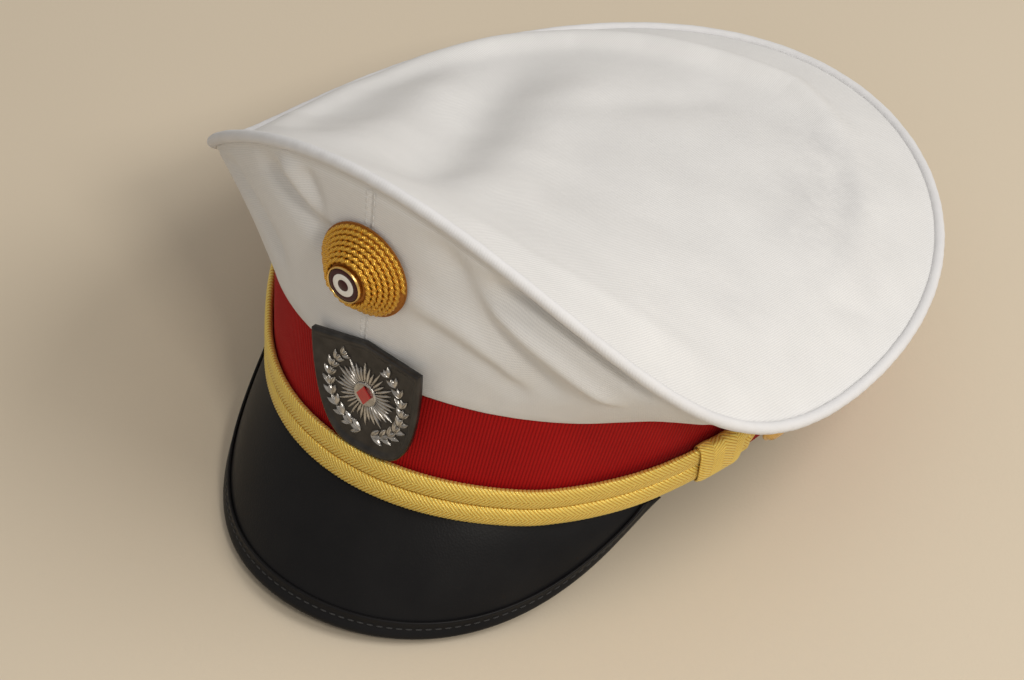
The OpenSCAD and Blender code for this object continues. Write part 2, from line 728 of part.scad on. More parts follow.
module cockade_winding() {
    n = len(winding_path);
    color("gold") laid() on_front() loft([for (i = [0:n - 1])
        let (along = unit(winding_path[min(i + 1, n - 1)] - winding_path[max(i - 1, 0)]),
            side = unit(cross(along, [0, 0, 1])))
        set_loop(round_loop(winding_r, 6), winding_path[i], side, cross(side, along))]);
}

bezel_t = 0.7;
bezel_h = 1.8;
enamel_t = 1;
module cockade_bezel() {
    color("gold") laid() on_front() translate([0, 0, cone_top + press_gap]) difference() {
        cylinder(h = bezel_h, r = enamel_r + press_gap + bezel_t);
        translate([0, 0, bezel_h - enamel_t - 0.2]) cylinder(h = enamel_t + 1, r = enamel_r + press_gap);
    }
}

enamel_foot = cone_top + 2 * press_gap + bezel_h - enamel_t - 0.2;
groove_t = 0.5;
module cockade_enamel_dark() {
    color("maroon") laid() on_front() translate([0, 0, enamel_foot]) difference() {
        cylinder(h = enamel_t, r = enamel_r);
        translate([0, 0, enamel_t - groove_t]) difference() {
            cylinder(h = 1, r = white_outer_r);
            cylinder(h = 1, r = white_inner_r);
        }
    }
}

module cockade_enamel_white() {
    color("white") laid() on_front() translate([0, 0, enamel_foot + enamel_t - groove_t + press_gap]) difference() {
        cylinder(h = groove_t, r = white_outer_r - press_gap);
        translate([0, 0, -1]) cylinder(h = groove_t + 2, r = white_inner_r + press_gap);
    }
}

// ---- Badge ----

// The badge leans against the crown's cloth over its top and the ribbon at its foot
badge_top = badge_at + badge_rise;
badge_foot = badge_at - badge_h;
badge_top_out = -oval_pt(band_h, hem_out, 0)[1] + tan(front_lean) * (badge_top - band_h);
badge_lean = atan2(badge_top_out + oval_pt(badge_foot, 0, 0)[1], badge_top - badge_foot);
badge_foot_y = tan(badge_lean) * badge_rise - badge_top_out - seat_gap;

module on_badge() {
    translate([badge_x, badge_foot_y, badge_at]) rotate([90 + badge_lean, 0, 0])
        rotate([0, 0, badge_turn]) children();
}

// Outline of the shield, drawn in by a distance all round
function shield_outline(inset) = let (
    w = badge_half_w - inset,
    h = badge_h - inset * 1.1,
    side = [for (k = [0:12]) let (a = 90 * k / 12) [w * pow(cos(a), 0.62), -inset - (h - inset) * pow(sin(a), 1.15)]])
    concat(side, [for (k = [11:-1:0]) [-side[k][0], side[k][1]]], [[0, badge_rise - inset * 1.1]]);

stud_heights = [-18.5, -28.5];
nut_t = 0.8;

// How deep behind the badge a nut lies, so that it rests inside the band's wall
function nut_depth(y) = badge_top_out + seat_gap - tan(badge_lean) * (badge_rise - y)
    + oval_pt(badge_at + y, stiffener_in, 0)[1] + seat_gap + nut_r * tan(badge_lean);
function stud_l(y) = nut_depth(y) + nut_t + 0.15;

module stud_holes() {
    on_badge() for (y = stud_heights)
        translate([0, y, -8]) cylinder(h = 8, r = stud_r + hole_play);
}

module badge_shield() {
    color("dimgray") laid() on_badge() {
        difference() {
            linear_extrude(badge_t + badge_rim_h) polygon(shield_outline(0));
            translate([0, 0, badge_t]) linear_extrude(badge_rim_h + 1) polygon(shield_outline(badge_rim_w));
        }
        for (y = stud_heights)
            translate([0, y, -stud_l(y)]) cylinder(h = stud_l(y) + 0.5, r = stud_r);
    }
}

// A pointed leaf along +Y, between two arcs
module leaf(l, w) {
    r = (pow(l / 2, 2) + pow(w / 2, 2)) / w;
    translate([0, l / 2]) intersection() {
        translate([r - w / 2, 0]) circle(r = r);
        translate([w / 2 - r, 0]) circle(r = r);
    }
}

relief_mid = -16;
hub_r = 4.2;
ray_r = 9;
rays = 12;
branch_r = 13;
branch_leaves = 7;

// Rays round a hub, between two branches of laurel
module badge_relief() {
    color("silver") laid() on_badge() translate([0, relief_mid, badge_t + press_gap]) {
        linear_extrude(relief_h) {
            circle(r = hub_r);
            for (i = [0:rays - 1]) rotate(360 * i / rays) polygon([[-1.1, hub_r - 1], [1.1, hub_r - 1], [0, ray_r]]);
        }
        linear_extrude(relief_h * 0.8) for (side = [-1, 1], i = [0:branch_leaves - 1])
            let (a = 200 - 19 * i)
            translate([side * branch_r * sin(a), branch_r * cos(a) * 1.15])
                rotate(-side * (a - 90 - 18)) leaf(5.2, 2.2);
    }
}

module badge_enamel() {
    enamel_w = 2.7;
    color("red") laid() on_badge() translate([0, relief_mid, badge_t + relief_h + 2 * press_gap])
        linear_extrude(0.5) polygon([[enamel_w, 0], [0, enamel_w * 1.25], [-enamel_w, 0], [0, -enamel_w * 1.25]]);
}

module badge_nuts() {
    color("silver") laid() for (y = stud_heights)
        on_badge() translate([0, y, -nut_depth(y) - nut_t]) difference() {
            cylinder(h = nut_t, r = nut_r);
            translate([0, 0, -1]) cylinder(h = nut_t + 2, r = stud_r + press_gap);
        }
}

crown_top();
quarter_front_left();
quarter_front_right();
quarter_rear_left();
quarter_rear_right();
crown_piping();
crown_wire();
wire_ferrule();
front_stay();
lining();
sweat_shield();
band_ribbon();
band_stiffener();
sweatband();
forehead_pad();
peak();
peak_underlining();
peak_binding();
chin_cord_upper();
chin_cord_lower();
cord_slide_left();
cord_slide_right();
side_button_left();
side_button_right();
side_button_washers();
cockade_back_plate();
cockade_cone();
cockade_winding();
cockade_bezel();
cockade_enamel_dark();
cockade_enamel_white();
badge_shield();
badge_relief();
badge_enamel();
badge_nuts();
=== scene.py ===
import math

import bpy
import mathutils
import numpy as np
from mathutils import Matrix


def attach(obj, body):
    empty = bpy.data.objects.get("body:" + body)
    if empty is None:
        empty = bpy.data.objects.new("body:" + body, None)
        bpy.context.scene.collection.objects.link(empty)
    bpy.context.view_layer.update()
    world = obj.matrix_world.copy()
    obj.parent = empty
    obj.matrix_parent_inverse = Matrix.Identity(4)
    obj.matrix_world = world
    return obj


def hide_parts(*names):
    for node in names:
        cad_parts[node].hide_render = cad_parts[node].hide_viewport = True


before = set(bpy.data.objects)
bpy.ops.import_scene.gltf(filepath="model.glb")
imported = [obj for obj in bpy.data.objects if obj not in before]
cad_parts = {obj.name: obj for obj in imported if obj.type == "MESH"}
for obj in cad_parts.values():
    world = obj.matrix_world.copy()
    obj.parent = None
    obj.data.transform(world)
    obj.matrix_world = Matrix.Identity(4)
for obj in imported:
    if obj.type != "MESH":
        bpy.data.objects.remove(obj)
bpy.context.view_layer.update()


# ---- How the cap lies, and the camera ----
# The cap is drawn upright, in millimetres, with its heights over a base plane and the peak towards
# -Y. It is then tipped back to stand on the edge of its peak and the back of its band.

TIP = math.radians(14.2862)
SHIFT = np.array([0, -18.462, 10.259])
TURN = np.array([[1, 0, 0], [0, math.cos(TIP), math.sin(TIP)], [0, -math.sin(TIP), math.cos(TIP)]])


def laid(points):
    """Upright points in millimetres, turned about X by the tip, moved, and given in metres."""
    return (np.asarray(points, float) @ TURN.T + SHIFT) / 1000


# Where the camera stands beside the upright cap, and the directions of its right, down and ahead.
EYE = [409.32, -738.33, 543.26]
SIGHT = np.array([[0.79146, 0.58386, 0.18082], [0.4454, -0.34833, -0.82479], [-0.41857, 0.73333, -0.53574]])

camera = bpy.data.objects.new("camera", bpy.data.cameras.new("camera"))
bpy.context.scene.collection.objects.link(camera)
placed = np.eye(4)
placed[:3, :3] = ((SIGHT * [[1], [-1], [-1]]) @ TURN.T).T
placed[:3, 3] = laid(EYE)
camera.matrix_world = mathutils.Matrix(placed.tolist())
camera.data.sensor_width = 36
camera.data.lens = 103.77
camera.data.clip_end = 20  # metres
bpy.context.scene.camera = camera


# ---- Floor and light ----
# A plain pale table top. A wide lamp and a smaller one in front of it stand high on the wearer's
# left, so the crown is lit from the side, and an even light fills the shade.


class Socket:
    """A shader socket, or a sum, product or other arithmetic on sockets, made as Math nodes."""

    def __init__(self, finish, socket):
        self.finish = finish
        self.socket = socket

    def math(self, operation, *values):
        return self.finish.node("ShaderNodeMath", {"operation": operation}, dict(enumerate(values)))

    def __add__(self, other):
        return self.math("ADD", self, other)

    def __sub__(self, other):
        return self.math("SUBTRACT", self, other)

    def __rsub__(self, other):
        return self.math("SUBTRACT", other, self)

    def __mul__(self, other):
        return self.math("MULTIPLY", self, other)

    def __truediv__(self, other):
        return self.math("DIVIDE", self, other)

    def __gt__(self, other):
        return self.math("GREATER_THAN", self, other)

    __radd__ = __add__
    __rmul__ = __mul__

    def wave(self, pitch):
        """A wave from 0 to 1 that repeats once in each pitch."""
        return self.math("SINE", self * (2 * math.pi / pitch)) * 0.5 + 0.5

    def part(self):
        """What is left after the whole number below it is taken away."""
        return self.math("FRACT", self)

    def size(self):
        """Its value without its sign."""
        return self.math("ABSOLUTE", self)

    def between(self, low, high):
        """0 below low, 1 above high, and a smooth rise from one to the other."""
        return self.finish.node("ShaderNodeMapRange", {"interpolation_type": "SMOOTHSTEP"},
                                {0: self, 1: low, 2: high, 3: 0.0, 4: 1.0})


class Finish:
    """A material in the making, whose node method adds any node and returns one of its outputs."""

    def __init__(self, name, roughness, metallic=0.0, **other):
        self.material = bpy.data.materials.new(name)
        self.material.use_nodes = True
        self.tree = self.material.node_tree
        self.shader = self.tree.nodes["Principled BSDF"]
        self.feed({"Roughness": roughness, "Metallic": metallic})
        self.feed({name.replace("_", " ").title(): value for name, value in other.items()})

    def feed(self, values, made=None):
        made = made or self.shader
        for key, value in values.items():
            if isinstance(value, Socket):
                self.tree.links.new(value.socket, made.inputs[key])
            else:
                made.inputs[key].default_value = value

    def node(self, kind, settings=None, values=None, out=0):
        made = self.tree.nodes.new(kind)
        for key, value in (settings or {}).items():
            if key == "stops":
                ramp = made.color_ramp.elements
                ramp[0].position, ramp[0].color = value[0]
                ramp[1].position, ramp[1].color = value[-1]
                for place, colour in value[1:-1]:
                    ramp.new(place).color = colour
            else:
                setattr(made, key, value)
        self.feed(values or {}, made)
        return Socket(self, made.outputs[out])

    def noise(self, scale, detail=3.0, at=None, roughness=0.5):
        """Cloudy noise from 0 to 1, on the object's own coordinates in metres unless told otherwise."""
        return self.node("ShaderNodeTexNoise", {}, {
            "Vector": at or self.node("ShaderNodeTexCoord", out=3), "Scale": scale, "Detail": detail,
            "Roughness": roughness})

    def cut(self):
        """The two coordinates of the piece's own map, in millimetres along and across the material."""
        both = self.node("ShaderNodeUVMap", {"uv_map": "cut"})
        split = [self.node("ShaderNodeSeparateXYZ", {}, {0: both}, out=n) for n in (0, 1)]
        return both, *split

    def mix(self, factor, low, high):
        """One colour where the factor is 0 and another where it is 1."""
        return self.node("ShaderNodeMix", {"data_type": "RGBA"}, {0: factor, 6: low, 7: high}, out=2)

    def raised(self, height, depth, over=None):
        """Bumps of a height from 0 to 1, as deep as said in millimetres, over other bumps if given."""
        values = {"Height": height, "Distance": depth / 1000, "Strength": 1.0}
        if over:
            values["Normal"] = over
        return self.node("ShaderNodeBump", {}, values)


def rgb(red, green, blue):
    return (red, green, blue, 1.0)


def clouded(name, roughness, scale, low, high, bump_scale, depth,
            detail=3.0, bump_detail=3.0, spread=0.0, **other):
    """A finish with cloudy noise between two colours, which also adds to the roughness if it has a
    spread, and with bumps of another noise."""
    finish = Finish(name, roughness, **other)
    cloud = finish.noise(scale, detail)
    finish.feed({
        "Base Color": finish.mix(cloud, rgb(*low), rgb(*high)),
        "Normal": finish.raised(finish.noise(bump_scale, bump_detail), depth)})
    if spread:
        finish.feed({"Roughness": cloud * spread + roughness})
    return finish


table_top = clouded("table_top", 0.6, 3.0, (0.64, 0.55, 0.42), (0.70, 0.61, 0.48), 900.0, 0.05)
floor_mesh = bpy.data.meshes.new("floor")
FLOOR_HALF = 6
floor_corners = [(x * FLOOR_HALF, y * FLOOR_HALF, 0) for x, y in ((-1, -1), (1, -1), (1, 1), (-1, 1))]
floor_mesh.from_pydata(floor_corners, [], [(0, 1, 2, 3)])
floor_mesh.materials.append(table_top.material)
floor = bpy.data.objects.new("floor", floor_mesh)
bpy.context.scene.collection.objects.link(floor)


def lamp(name, at, power, size, colour):
    """A square lamp that faces the middle of the cap."""
    light = bpy.data.lights.new(name, "AREA")
    light.energy = power
    light.size = size
    light.color = colour
    holder = bpy.data.objects.new(name, light)
    holder.location = at
    aim = mathutils.Vector((0, 0, 0.06)) - mathutils.Vector(at)
    holder.rotation_euler = aim.to_track_quat("-Z", "Y").to_euler()
    bpy.context.scene.collection.objects.link(holder)


lamp("window", (0.9, 0.35, 1.2), 11.5, 0.9, (1.0, 0.97, 0.93))
lamp("flash", (0.9, -0.55, 1.1), 5, 0.25, (1.0, 0.95, 0.87))
world = bpy.data.worlds.new("room")
world.use_nodes = True
background = world.node_tree.nodes["Background"]
background.inputs["Color"].default_value = (1.0, 0.96, 0.91, 1)
background.inputs["Strength"].default_value = 0.43
bpy.context.scene.world = world
bpy.context.scene.view_settings.view_transform = "Standard"


# ---- Band ----
# A stiff band covered with red grosgrain ribbon. The ribbon's ribs run up it, and it leans outward
# to meet the crown, whose white hem laps over its upper edge.

BAND_H = 46
BAND_HALF_W = 81
BAND_HALF_L = 103.4
FLARE_W = 8.8
FLARE_L = 2.9
EGG = 0.02
FOOT_FRONT = 4.5
FOOT_RISE = 11.5
HEM_RISE = 3


def oval(z, out, t):
    """Sine and cosine of the angle times a half width and a half length that grow with the height,
    and a slight egg shape. The angle runs from the front towards +X."""
    wide = (BAND_HALF_W + FLARE_W * z / BAND_H + out) * np.sin(t) * (1 - EGG * np.cos(t))
    long = -(BAND_HALF_L + FLARE_L * z / BAND_H + out) * np.cos(t)
    return np.stack(np.broadcast_arrays(wide, long, z), -1)


def ease(x):
    """0 below 0, 1 above 1, and a smooth rise between them."""
    x = np.clip(x, 0, 1)
    return x * x * (3 - 2 * x)


def from_front(t, start, over):
    """0 up to a start, in degrees from the front, and a smooth rise to 1 over some more degrees."""
    return ease((np.degrees(np.arccos(np.cos(t))) - start) / over)


def band_foot(t):
    """Height of the band's lower edge: level in front, with a smooth rise to the sides and the back."""
    return FOOT_FRONT + FOOT_RISE * from_front(t, 46, 38)


def hem_height(t):
    """Height of the crown's hem: level in front, with a small smooth rise to the sides and the back."""
    return BAND_H + HEM_RISE * from_front(t, 40, 38)


def round_angles(count):
    """Evenly spaced angles of a full turn, without the last, which is the first again."""
    return np.linspace(0, 2 * np.pi, count, endpoint=False)


def gone_along(line):
    """The distance gone at each point of a line of points."""
    return np.r_[0, np.cumsum(np.linalg.norm(np.diff(line, axis=0), axis=1))]


def surface(points, cut, ring=False, tube=False, ends=False, poles=(), inside=(0, 0, 30)):
    """A mesh of quads on a grid of points [row, column], or on many such grids at once. ring joins the
    last row to the first and tube the last column to the first. ends closes the first and last row by
    strips between facing columns, and poles closes the first or last column by a fan to its middle.
    All faces are turned by one test: the sum of face normal times direction from inside is positive,
    which for a closed surface holds from any point."""
    grids = np.asarray(points, float).reshape(-1, *np.shape(points)[-3:])
    copies, rows, cols = grids.shape[:3]
    cut = np.broadcast_to(np.asarray(cut, float).reshape(-1, *np.shape(cut)[-3:]),
                          (copies, rows + ring, cols + tube, 2))
    i = np.arange(rows - (not ring))[:, None]
    j = np.arange(cols - (not tube))[None, :]
    steps = ((0, 0), (1, 0), (1, 1), (0, 1))
    corners = np.stack([((i + a) % rows) * cols + (j + b) % cols for a, b in steps], -1).reshape(-1, 4)
    marks = np.stack([cut[:, i + a, j + b] for a, b in steps], -2).reshape(copies, -1, 4, 2)
    offset = np.arange(copies)[:, None, None] * rows * cols
    quads = (corners[None] + offset).reshape(-1, 4)
    marks = marks.reshape(-1, 4, 2)
    flat = grids.reshape(-1, 3)
    if ends:
        k = np.arange(cols // 2 - 1)
        strip = np.stack([k, k + 1, cols - 2 - k, cols - 1 - k], -1)
        both = np.concatenate([strip[:, ::-1], strip + (rows - 1) * cols])
        quads = np.concatenate([quads, (both[None] + offset).reshape(-1, 4)])
        at_ends = cut[:, :rows, :cols].reshape(copies, -1, 2)[:, both]
        marks = np.concatenate([marks, at_ends.reshape(-1, 4, 2)])
    spread = flat[quads]
    normal = np.cross(spread[:, 2] - spread[:, 0], spread[:, 3] - spread[:, 1])
    middle = laid(inside) if copies == 1 else grids.mean((1, 2))[quads[:, 0] // (rows * cols)]
    inside_out = ((spread.mean(1) - middle) * normal).sum() < 0
    faces = quads.tolist()
    corner_marks = marks.reshape(-1, 2)
    for pole in poles:
        edge = np.arange(rows) * cols + pole % cols
        flat = np.concatenate([flat, flat[edge].mean(0)[None]])
        fan = np.stack([edge, np.roll(edge, -1), np.full(rows, len(flat) - 1)], -1)
        at_edge = cut[0][:rows, pole]
        at_middle = np.broadcast_to(at_edge.mean(0), at_edge.shape)
        on_fan = np.stack([at_edge, np.roll(at_edge, -1, 0), at_middle], -2)
        way = -1 if pole == 0 else 1
        faces += fan[:, ::way].tolist()
        corner_marks = np.concatenate([corner_marks, on_fan[:, ::way].reshape(-1, 2)])
    mesh = bpy.data.meshes.new("surface")
    mesh.from_pydata(flat.tolist(), [], faces)
    chart = mesh.uv_layers.new(name="cut")
    chart.data.foreach_set("uv", corner_marks.astype(np.float32).ravel())
    if inside_out:
        mesh.flip_normals()
    mesh.polygons.foreach_set("use_smooth", np.ones(len(mesh.polygons), bool))
    mesh.set_sharp_from_angle(angle=math.radians(50))
    return mesh


def piece(name, mesh, finish, slot, *nodes, body="cap"):
    """Show a mesh in a finish, riding on a body, in place of the CAD nodes it stands for."""
    mesh.name = name
    made = bpy.data.objects.new(name, mesh)
    bpy.context.scene.collection.objects.link(made)
    mesh.materials.append(finish.material)
    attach(made, body)
    if nodes:
        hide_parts(*nodes)
    return made


def finish_node(finish, *nodes):
    """Give CAD nodes, whose shape stays, a finish."""
    for node in nodes:
        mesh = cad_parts[node].data
        mesh.materials.clear()
        mesh.materials.append(finish.material)


def chart(along, across):
    """Map coordinates in millimetres for a grid, from a line of values for its rows and its columns."""
    along = np.asarray(along, float)[:, None]
    across = np.asarray(across, float)[None, :]
    return np.stack(np.broadcast_arrays(along, across), -1)


RIBS = 520
RIB_STEPS = 6
RIBBON_ROUND = 600
HEM_LAP = 2.5
t = round_angles(RIBS * RIB_STEPS)[:, None]
ribbon_share = np.r_[1, np.linspace(0.99, 0.01, 10), 0, 0, 0.5, 1][None, :]
ribbon_z = band_foot(t) + (hem_height(t) + HEM_LAP - band_foot(t)) * ribbon_share
ribbon_out = np.r_[-0.3, np.zeros(10), -0.3, -0.7, -0.7, -0.7][None, :]
outer_face = (ribbon_out > -0.1) * 1.0
rib = outer_face * 0.14 * (np.abs(np.cos(t * RIBS / 2)) ** 0.8 - 0.8)
wander = 0.05 * outer_face * (np.sin(t * 7 + ribbon_z * 0.05) + np.sin(t * 17 + 2))
ribbon_points = oval(ribbon_z, ribbon_out + rib + wander, t)

grosgrain = Finish("red_grosgrain", 0.66, sheen_weight=0.04, sheen_roughness=0.4)
both, along, across = grosgrain.cut()
# The red is painted darker in the grooves between the ribs and lighter on their tops, and a little along the
# threads' wave, which is also their bump: painted shade, over a random tone.
ridge = along.math("COSINE", along * (math.pi * RIBS / RIBBON_ROUND)).size()
threads = across.wave(0.34)
shade = grosgrain.noise(45.0) * 0.3 + ridge * 0.6 + threads * 0.1
grosgrain.feed({
    "Specular IOR Level": 0.12,
    "Base Color": grosgrain.mix(shade, rgb(0.16, 0.001, 0.002), rgb(0.50, 0.006, 0.006)),
    "Normal": grosgrain.raised(threads, 0.05)})
ribbon_cut = chart(np.linspace(0, RIBBON_ROUND, RIBS * RIB_STEPS + 1), np.r_[ribbon_z[0], ribbon_z[0, 0]])
piece("red_ribbon", surface(laid(ribbon_points), ribbon_cut, ring=True, tube=True),
      grosgrain, "red_ribbon", "band_ribbon")

card = clouded("stiffener_card", 0.9, 400.0, (0.36, 0.30, 0.22), (0.48, 0.42, 0.33), 2500.0, 0.08)
finish_node(card, "band_stiffener")


# ---- Crown top ----
# One oval of white cotton twill, stretched by a sprung wire a little way in from the edge. It dips
# in a soft hollow on its right, and the wire shows as a low ridge round the back.


def rim(t):
    """The line of the piping: an oval with small second and third waves added for its saddle shape."""
    return np.stack([
        118.2 * np.sin(t) - np.sin(2 * t) + 7 * np.sin(3 * t),
        6.2 - 131.4 * np.cos(t) + 10.1 * np.cos(2 * t) - 5.9 * np.cos(3 * t),
        top_height(1, t)], -1)


def top_height(f, t):
    """Height of the top at a share of the way out: waves of the angle times powers of the share."""
    return (68.2 + 19 * f * np.cos(t) + 22 * f ** 2 * np.cos(2 * t) + 6 * f ** 3 * np.cos(3 * t)
            + 2.6 * f ** 4 * np.cos(4 * t) + 10 * (1 - f ** 4))


def fold(at, line, width, height):
    """A soft fold: a bell over the distance to a line of points, which fades towards both its ends."""
    line = np.asarray(line, float)
    lengths = np.linalg.norm(np.diff(line, axis=0), axis=1)
    started = np.r_[0, np.cumsum(lengths)] / lengths.sum()
    nearest = np.full(at.shape[:-1], 1e9)
    place = np.zeros(at.shape[:-1])
    for n, (start, end) in enumerate(zip(line[:-1], line[1:])):
        step = end - start
        share = np.clip((at - start) @ step / (step @ step), 0, 1)
        away = np.linalg.norm(at - start - share[..., None] * step, axis=-1)
        place = np.where(away < nearest, started[n] + share * (started[n + 1] - started[n]), place)
        nearest = np.minimum(away, nearest)
    return height * np.exp(-(nearest / width) ** 2) * ease(place * 4) * ease((1 - place) * 4)


def folds(at, lines):
    """The sum of many folds, each with its line, its width and its height."""
    return sum(fold(at, *each) for each in lines)


PIPING_R = 2
CLOTH = 1.2
HOLLOW_AND_CREASES = [
    ([(2, -104), (-18, -66), (-31, -33), (-53, 16), (-65, 48), (-74, 84)], 13, -5.6),
    ([(12, -92), (-6, -40), (-26, 15), (-40, 62), (-52, 88)], 13, 2.4),
    ([(-30, -104), (-54, -40), (-74, 20), (-84, 56)], 13, 3.0),
    ([(-40, 20), (-24, 52), (-11, 78), (0, 108)], 9, -1.3),
    ([(12, -98), (25, -96), (41, -90), (59, -75), (76, -60), (92, -44)], 5, 0.7),
    ([(30, 118), (44, 101), (56, 84), (64, 70), (70, 48)], 9, -1.5),
    ([(84, 22), (98, 40)], 4, -0.5),
    ([(96, 8), (106, 22)], 4, -0.4),
    # The wire's low ridge round the back.
    ([(-104, 10), (-97, 49), (-84, 75), (-66, 95), (-46, 106), (-28, 113), (-10, 119), (4, 123),
      (21, 118), (44, 104), (62, 84), (74, 62), (84, 36), (88, 6)], 6, 1.5)]
EDGE_ROLL = [
    ([(-44, -98), (-78, -66), (-98, -28), (-104, 10), (-99, 46), (-88, 72), (-68, 94), (-46, 108),
      (-20, 118), (8, 124), (36, 114), (60, 92)], 7, 4.2)]

t = round_angles(720)
edge = rim(t)
edge_reach = np.hypot(edge[:, 0], edge[:, 1])
share = (1 - (PIPING_R - 0.6) / edge_reach)[:, None] * np.linspace(0.005, 1, 90)[None, :]
top = np.stack([edge[:, None, 0] * share, edge[:, None, 1] * share, top_height(share, t[:, None])], -1)
flat = top[..., :2]
free = ease((1 - share) * 12)
top[..., 2] += free * folds(flat, HOLLOW_AND_CREASES) + ease((1 - share) * 22) * folds(flat, EDGE_ROLL)
top[..., 2] += free * 0.25 * (
    np.sin(flat[..., 0] * 0.09 + flat[..., 1] * 0.05) + np.sin(flat[..., 1] * 0.11 - flat[..., 0] * 0.07 + 1))


def twill(name, lines):
    """White cotton twill: fine ribs along one direction of the cut, crossed by a slanting weave. Its white is
    painted darker in the grooves of the ribs and the weave, on the same waves as its bumps: painted shade,
    over a random tone. The finish comes with its white and its bumps, still to be fed."""
    cloth = Finish(name, 0.86, sheen_weight=0.12, sheen_roughness=0.5)
    both, along, across = cloth.cut()
    rib = (across if lines == "along" else along).wave(0.66)
    slant = (along * 0.5 + across * 0.86).wave(0.42)
    soft = cloth.noise(0.05, 4.0, both)
    # Painted shade in the grooves of the ribs and the weave, and a random tone.
    tone = rib * 0.35 + slant * 0.15 + soft * 0.5
    white = cloth.mix(tone, rgb(0.64, 0.64, 0.64), rgb(0.84, 0.835, 0.83))
    wrinkled = cloth.raised(cloth.noise(0.35, 4.0, both), 0.12)
    return cloth, white, cloth.raised(rib * 0.6 + slant * 0.4, 0.08, wrinkled)


# Specks of wear lie round four places: X, Y and Z in millimetres, and their reach in metres.
RUBBED = ((52, 80, 66, 0.030), (64, 52, 62, 0.034), (34, 100, 66, 0.026), (72, -12, 62, 0.018))
crown_cloth, white, weave = twill("white_twill_top", "across")
spot_at = crown_cloth.node("ShaderNodeTexCoord", out=3)
grime = crown_cloth.noise(60.0, 8.0, roughness=0.72).between(0.25, 0.85)
rubbed = 0.0
for *spot, reach in RUBBED:
    away = crown_cloth.node("ShaderNodeVectorMath", {"operation": "DISTANCE"},
                            {0: spot_at, 1: tuple(laid(spot))}, out=1)
    rubbed = (1 - away.between(0.0, reach)) * 0.35 + rubbed
crown_cloth.feed({
    "Base Color": crown_cloth.mix(rubbed * grime, white, rgb(0.34, 0.34, 0.36)),
    "Normal": weave})
top_mesh = surface(laid(top), np.concatenate([flat, flat[:1]]), ring=True, poles=(0,), inside=(0, 0, 20))
crown_top = piece("white_top", top_mesh, crown_cloth, "white_cotton", "crown_top")
cloth_wall = crown_top.modifiers.new("cloth", "SOLIDIFY")
cloth_wall.thickness = CLOTH / 1000
cloth_wall.offset = -1


# ---- Crown quarters ----
# Four panels of the same twill, joined by seams at the front, the back and both sides. Their lower
# edge is turned in over the ribbon, and soft folds run down from the piping at the front.

HEM_OUT = 1.5
BELLY = 8


def unit(v):
    return v / np.linalg.norm(v, axis=-1, keepdims=True)


def quarter(t, v):
    """A curve with one bend between the hem and the piping, bellied down more towards the back."""
    hem = oval(hem_height(t), HEM_OUT, t)
    high = rim(t)
    knee = (hem + high) / 2
    knee[..., 2] -= BELLY * ease((1 - np.cos(t)) * 0.9)
    top_edge = high + unit(knee - high) * (PIPING_R + 0.25)
    v = np.asarray(v)[..., None]
    return hem * (1 - v) ** 2 + knee * 2 * v * (1 - v) + top_edge * v ** 2


def normals(points):
    """The cross product of the differences along and across a grid, made a unit length."""
    return unit(np.cross(np.gradient(points, axis=0), np.gradient(points, axis=1)))


def shell(outer, thickness, out_from=(0, 0, 60)):
    """A sheet with a wall: its outer grid, then the same grid moved inward, with both edges rounded."""
    n = normals(outer)
    if ((outer - out_from) * n).sum() < 0:
        n = -n
    last = unit(outer[:, -1] - outer[:, -2])
    first = unit(outer[:, 0] - outer[:, 1])
    bend = np.radians([36, 72, 108, 144])

    def nose(column, way):
        return np.stack([outer[:, column] - n[:, column] * thickness / 2 * (1 - np.cos(a))
                         + way * thickness * 0.45 * np.sin(a) for a in bend], 1)

    inner = (outer - n * thickness)[:, ::-1]
    return np.concatenate([outer, nose(-1, last), inner, nose(0, first)[:, ::-1]], 1)


QUARTER_H = 56
PER_DEGREE = 1.92
FOLD_DEPTH = 1.35
SEAM_DIP = 0.5
# Each fold's line is given in degrees from the front and in shares of the quarter's height.
QUARTER_FOLDS = [
    ([(15, 0.8), (21, 0.86), (26, 0.92), (32, 0.93), (38, 0.92), (48, 0.88)], 5.5, -4.2),
    ([(14, 0.84), (21, 0.74), (30, 0.70), (38, 0.64), (46, 0.55)], 5, 2.6),
    ([(6, 0.92), (12, 0.85), (17.5, 0.71), (26, 0.56), (33, 0.41), (38, 0.3)], 5, -2.4),
    ([(4, 0.55), (15, 0.5), (24, 0.45), (32, 0.3)], 5, 1.7),
    ([(7, 0.43), (17, 0.4), (25, 0.34), (33, 0.2)], 4, -1.5),
    ([(-24, 0.97), (-20, 0.86), (-17, 0.76), (-9.5, 0.6), (-4, 0.45)], 4, -2.4),
    ([(-18, 0.97), (-14, 0.86), (-11, 0.74), (-6, 0.6)], 3.5, 1.6),
    ([(-13, 0.96), (-10.5, 0.8), (-8.5, 0.66), (-5, 0.52)], 3, -1.7),
    ([(-40, 0.95), (-34, 0.7), (-26, 0.4), (-20, 0.22)], 5, -1.8),
    ([(-55, 0.9), (-70, 0.88), (-88, 0.88), (-110, 0.86)], 8, 1.7),
    ([(60, 0.85), (66, 0.6), (76, 0.35)], 5, -1.6),
    ([(100, 0.9), (112, 0.6), (128, 0.4)], 7, -1.8),
    ([(-100, 0.85), (-115, 0.55), (-135, 0.4)], 7, -1.8),
    ([(150, 0.85), (158, 0.5), (172, 0.3)], 6, 1.5),
    ([(-150, 0.85), (-160, 0.5), (-174, 0.3)], 6, 1.4)]
folds_on_cloth = [(np.array(line) * (PER_DEGREE, QUARTER_H), width, height)
                  for line, width, height in QUARTER_FOLDS]

quarter_cloth, white, weave = twill("white_twill_side", "along")
both, along, across = quarter_cloth.cut()
# Darker and browner in patches, fading out within 5 mm of the hem.
hem_darkening = (1 - across.between(0.0, 5.0)) * quarter_cloth.noise(0.12, 5.0, both)
quarter_cloth.feed({
    "Base Color": quarter_cloth.mix(hem_darkening * 0.5, white, rgb(0.5, 0.47, 0.42)),
    "Normal": weave})

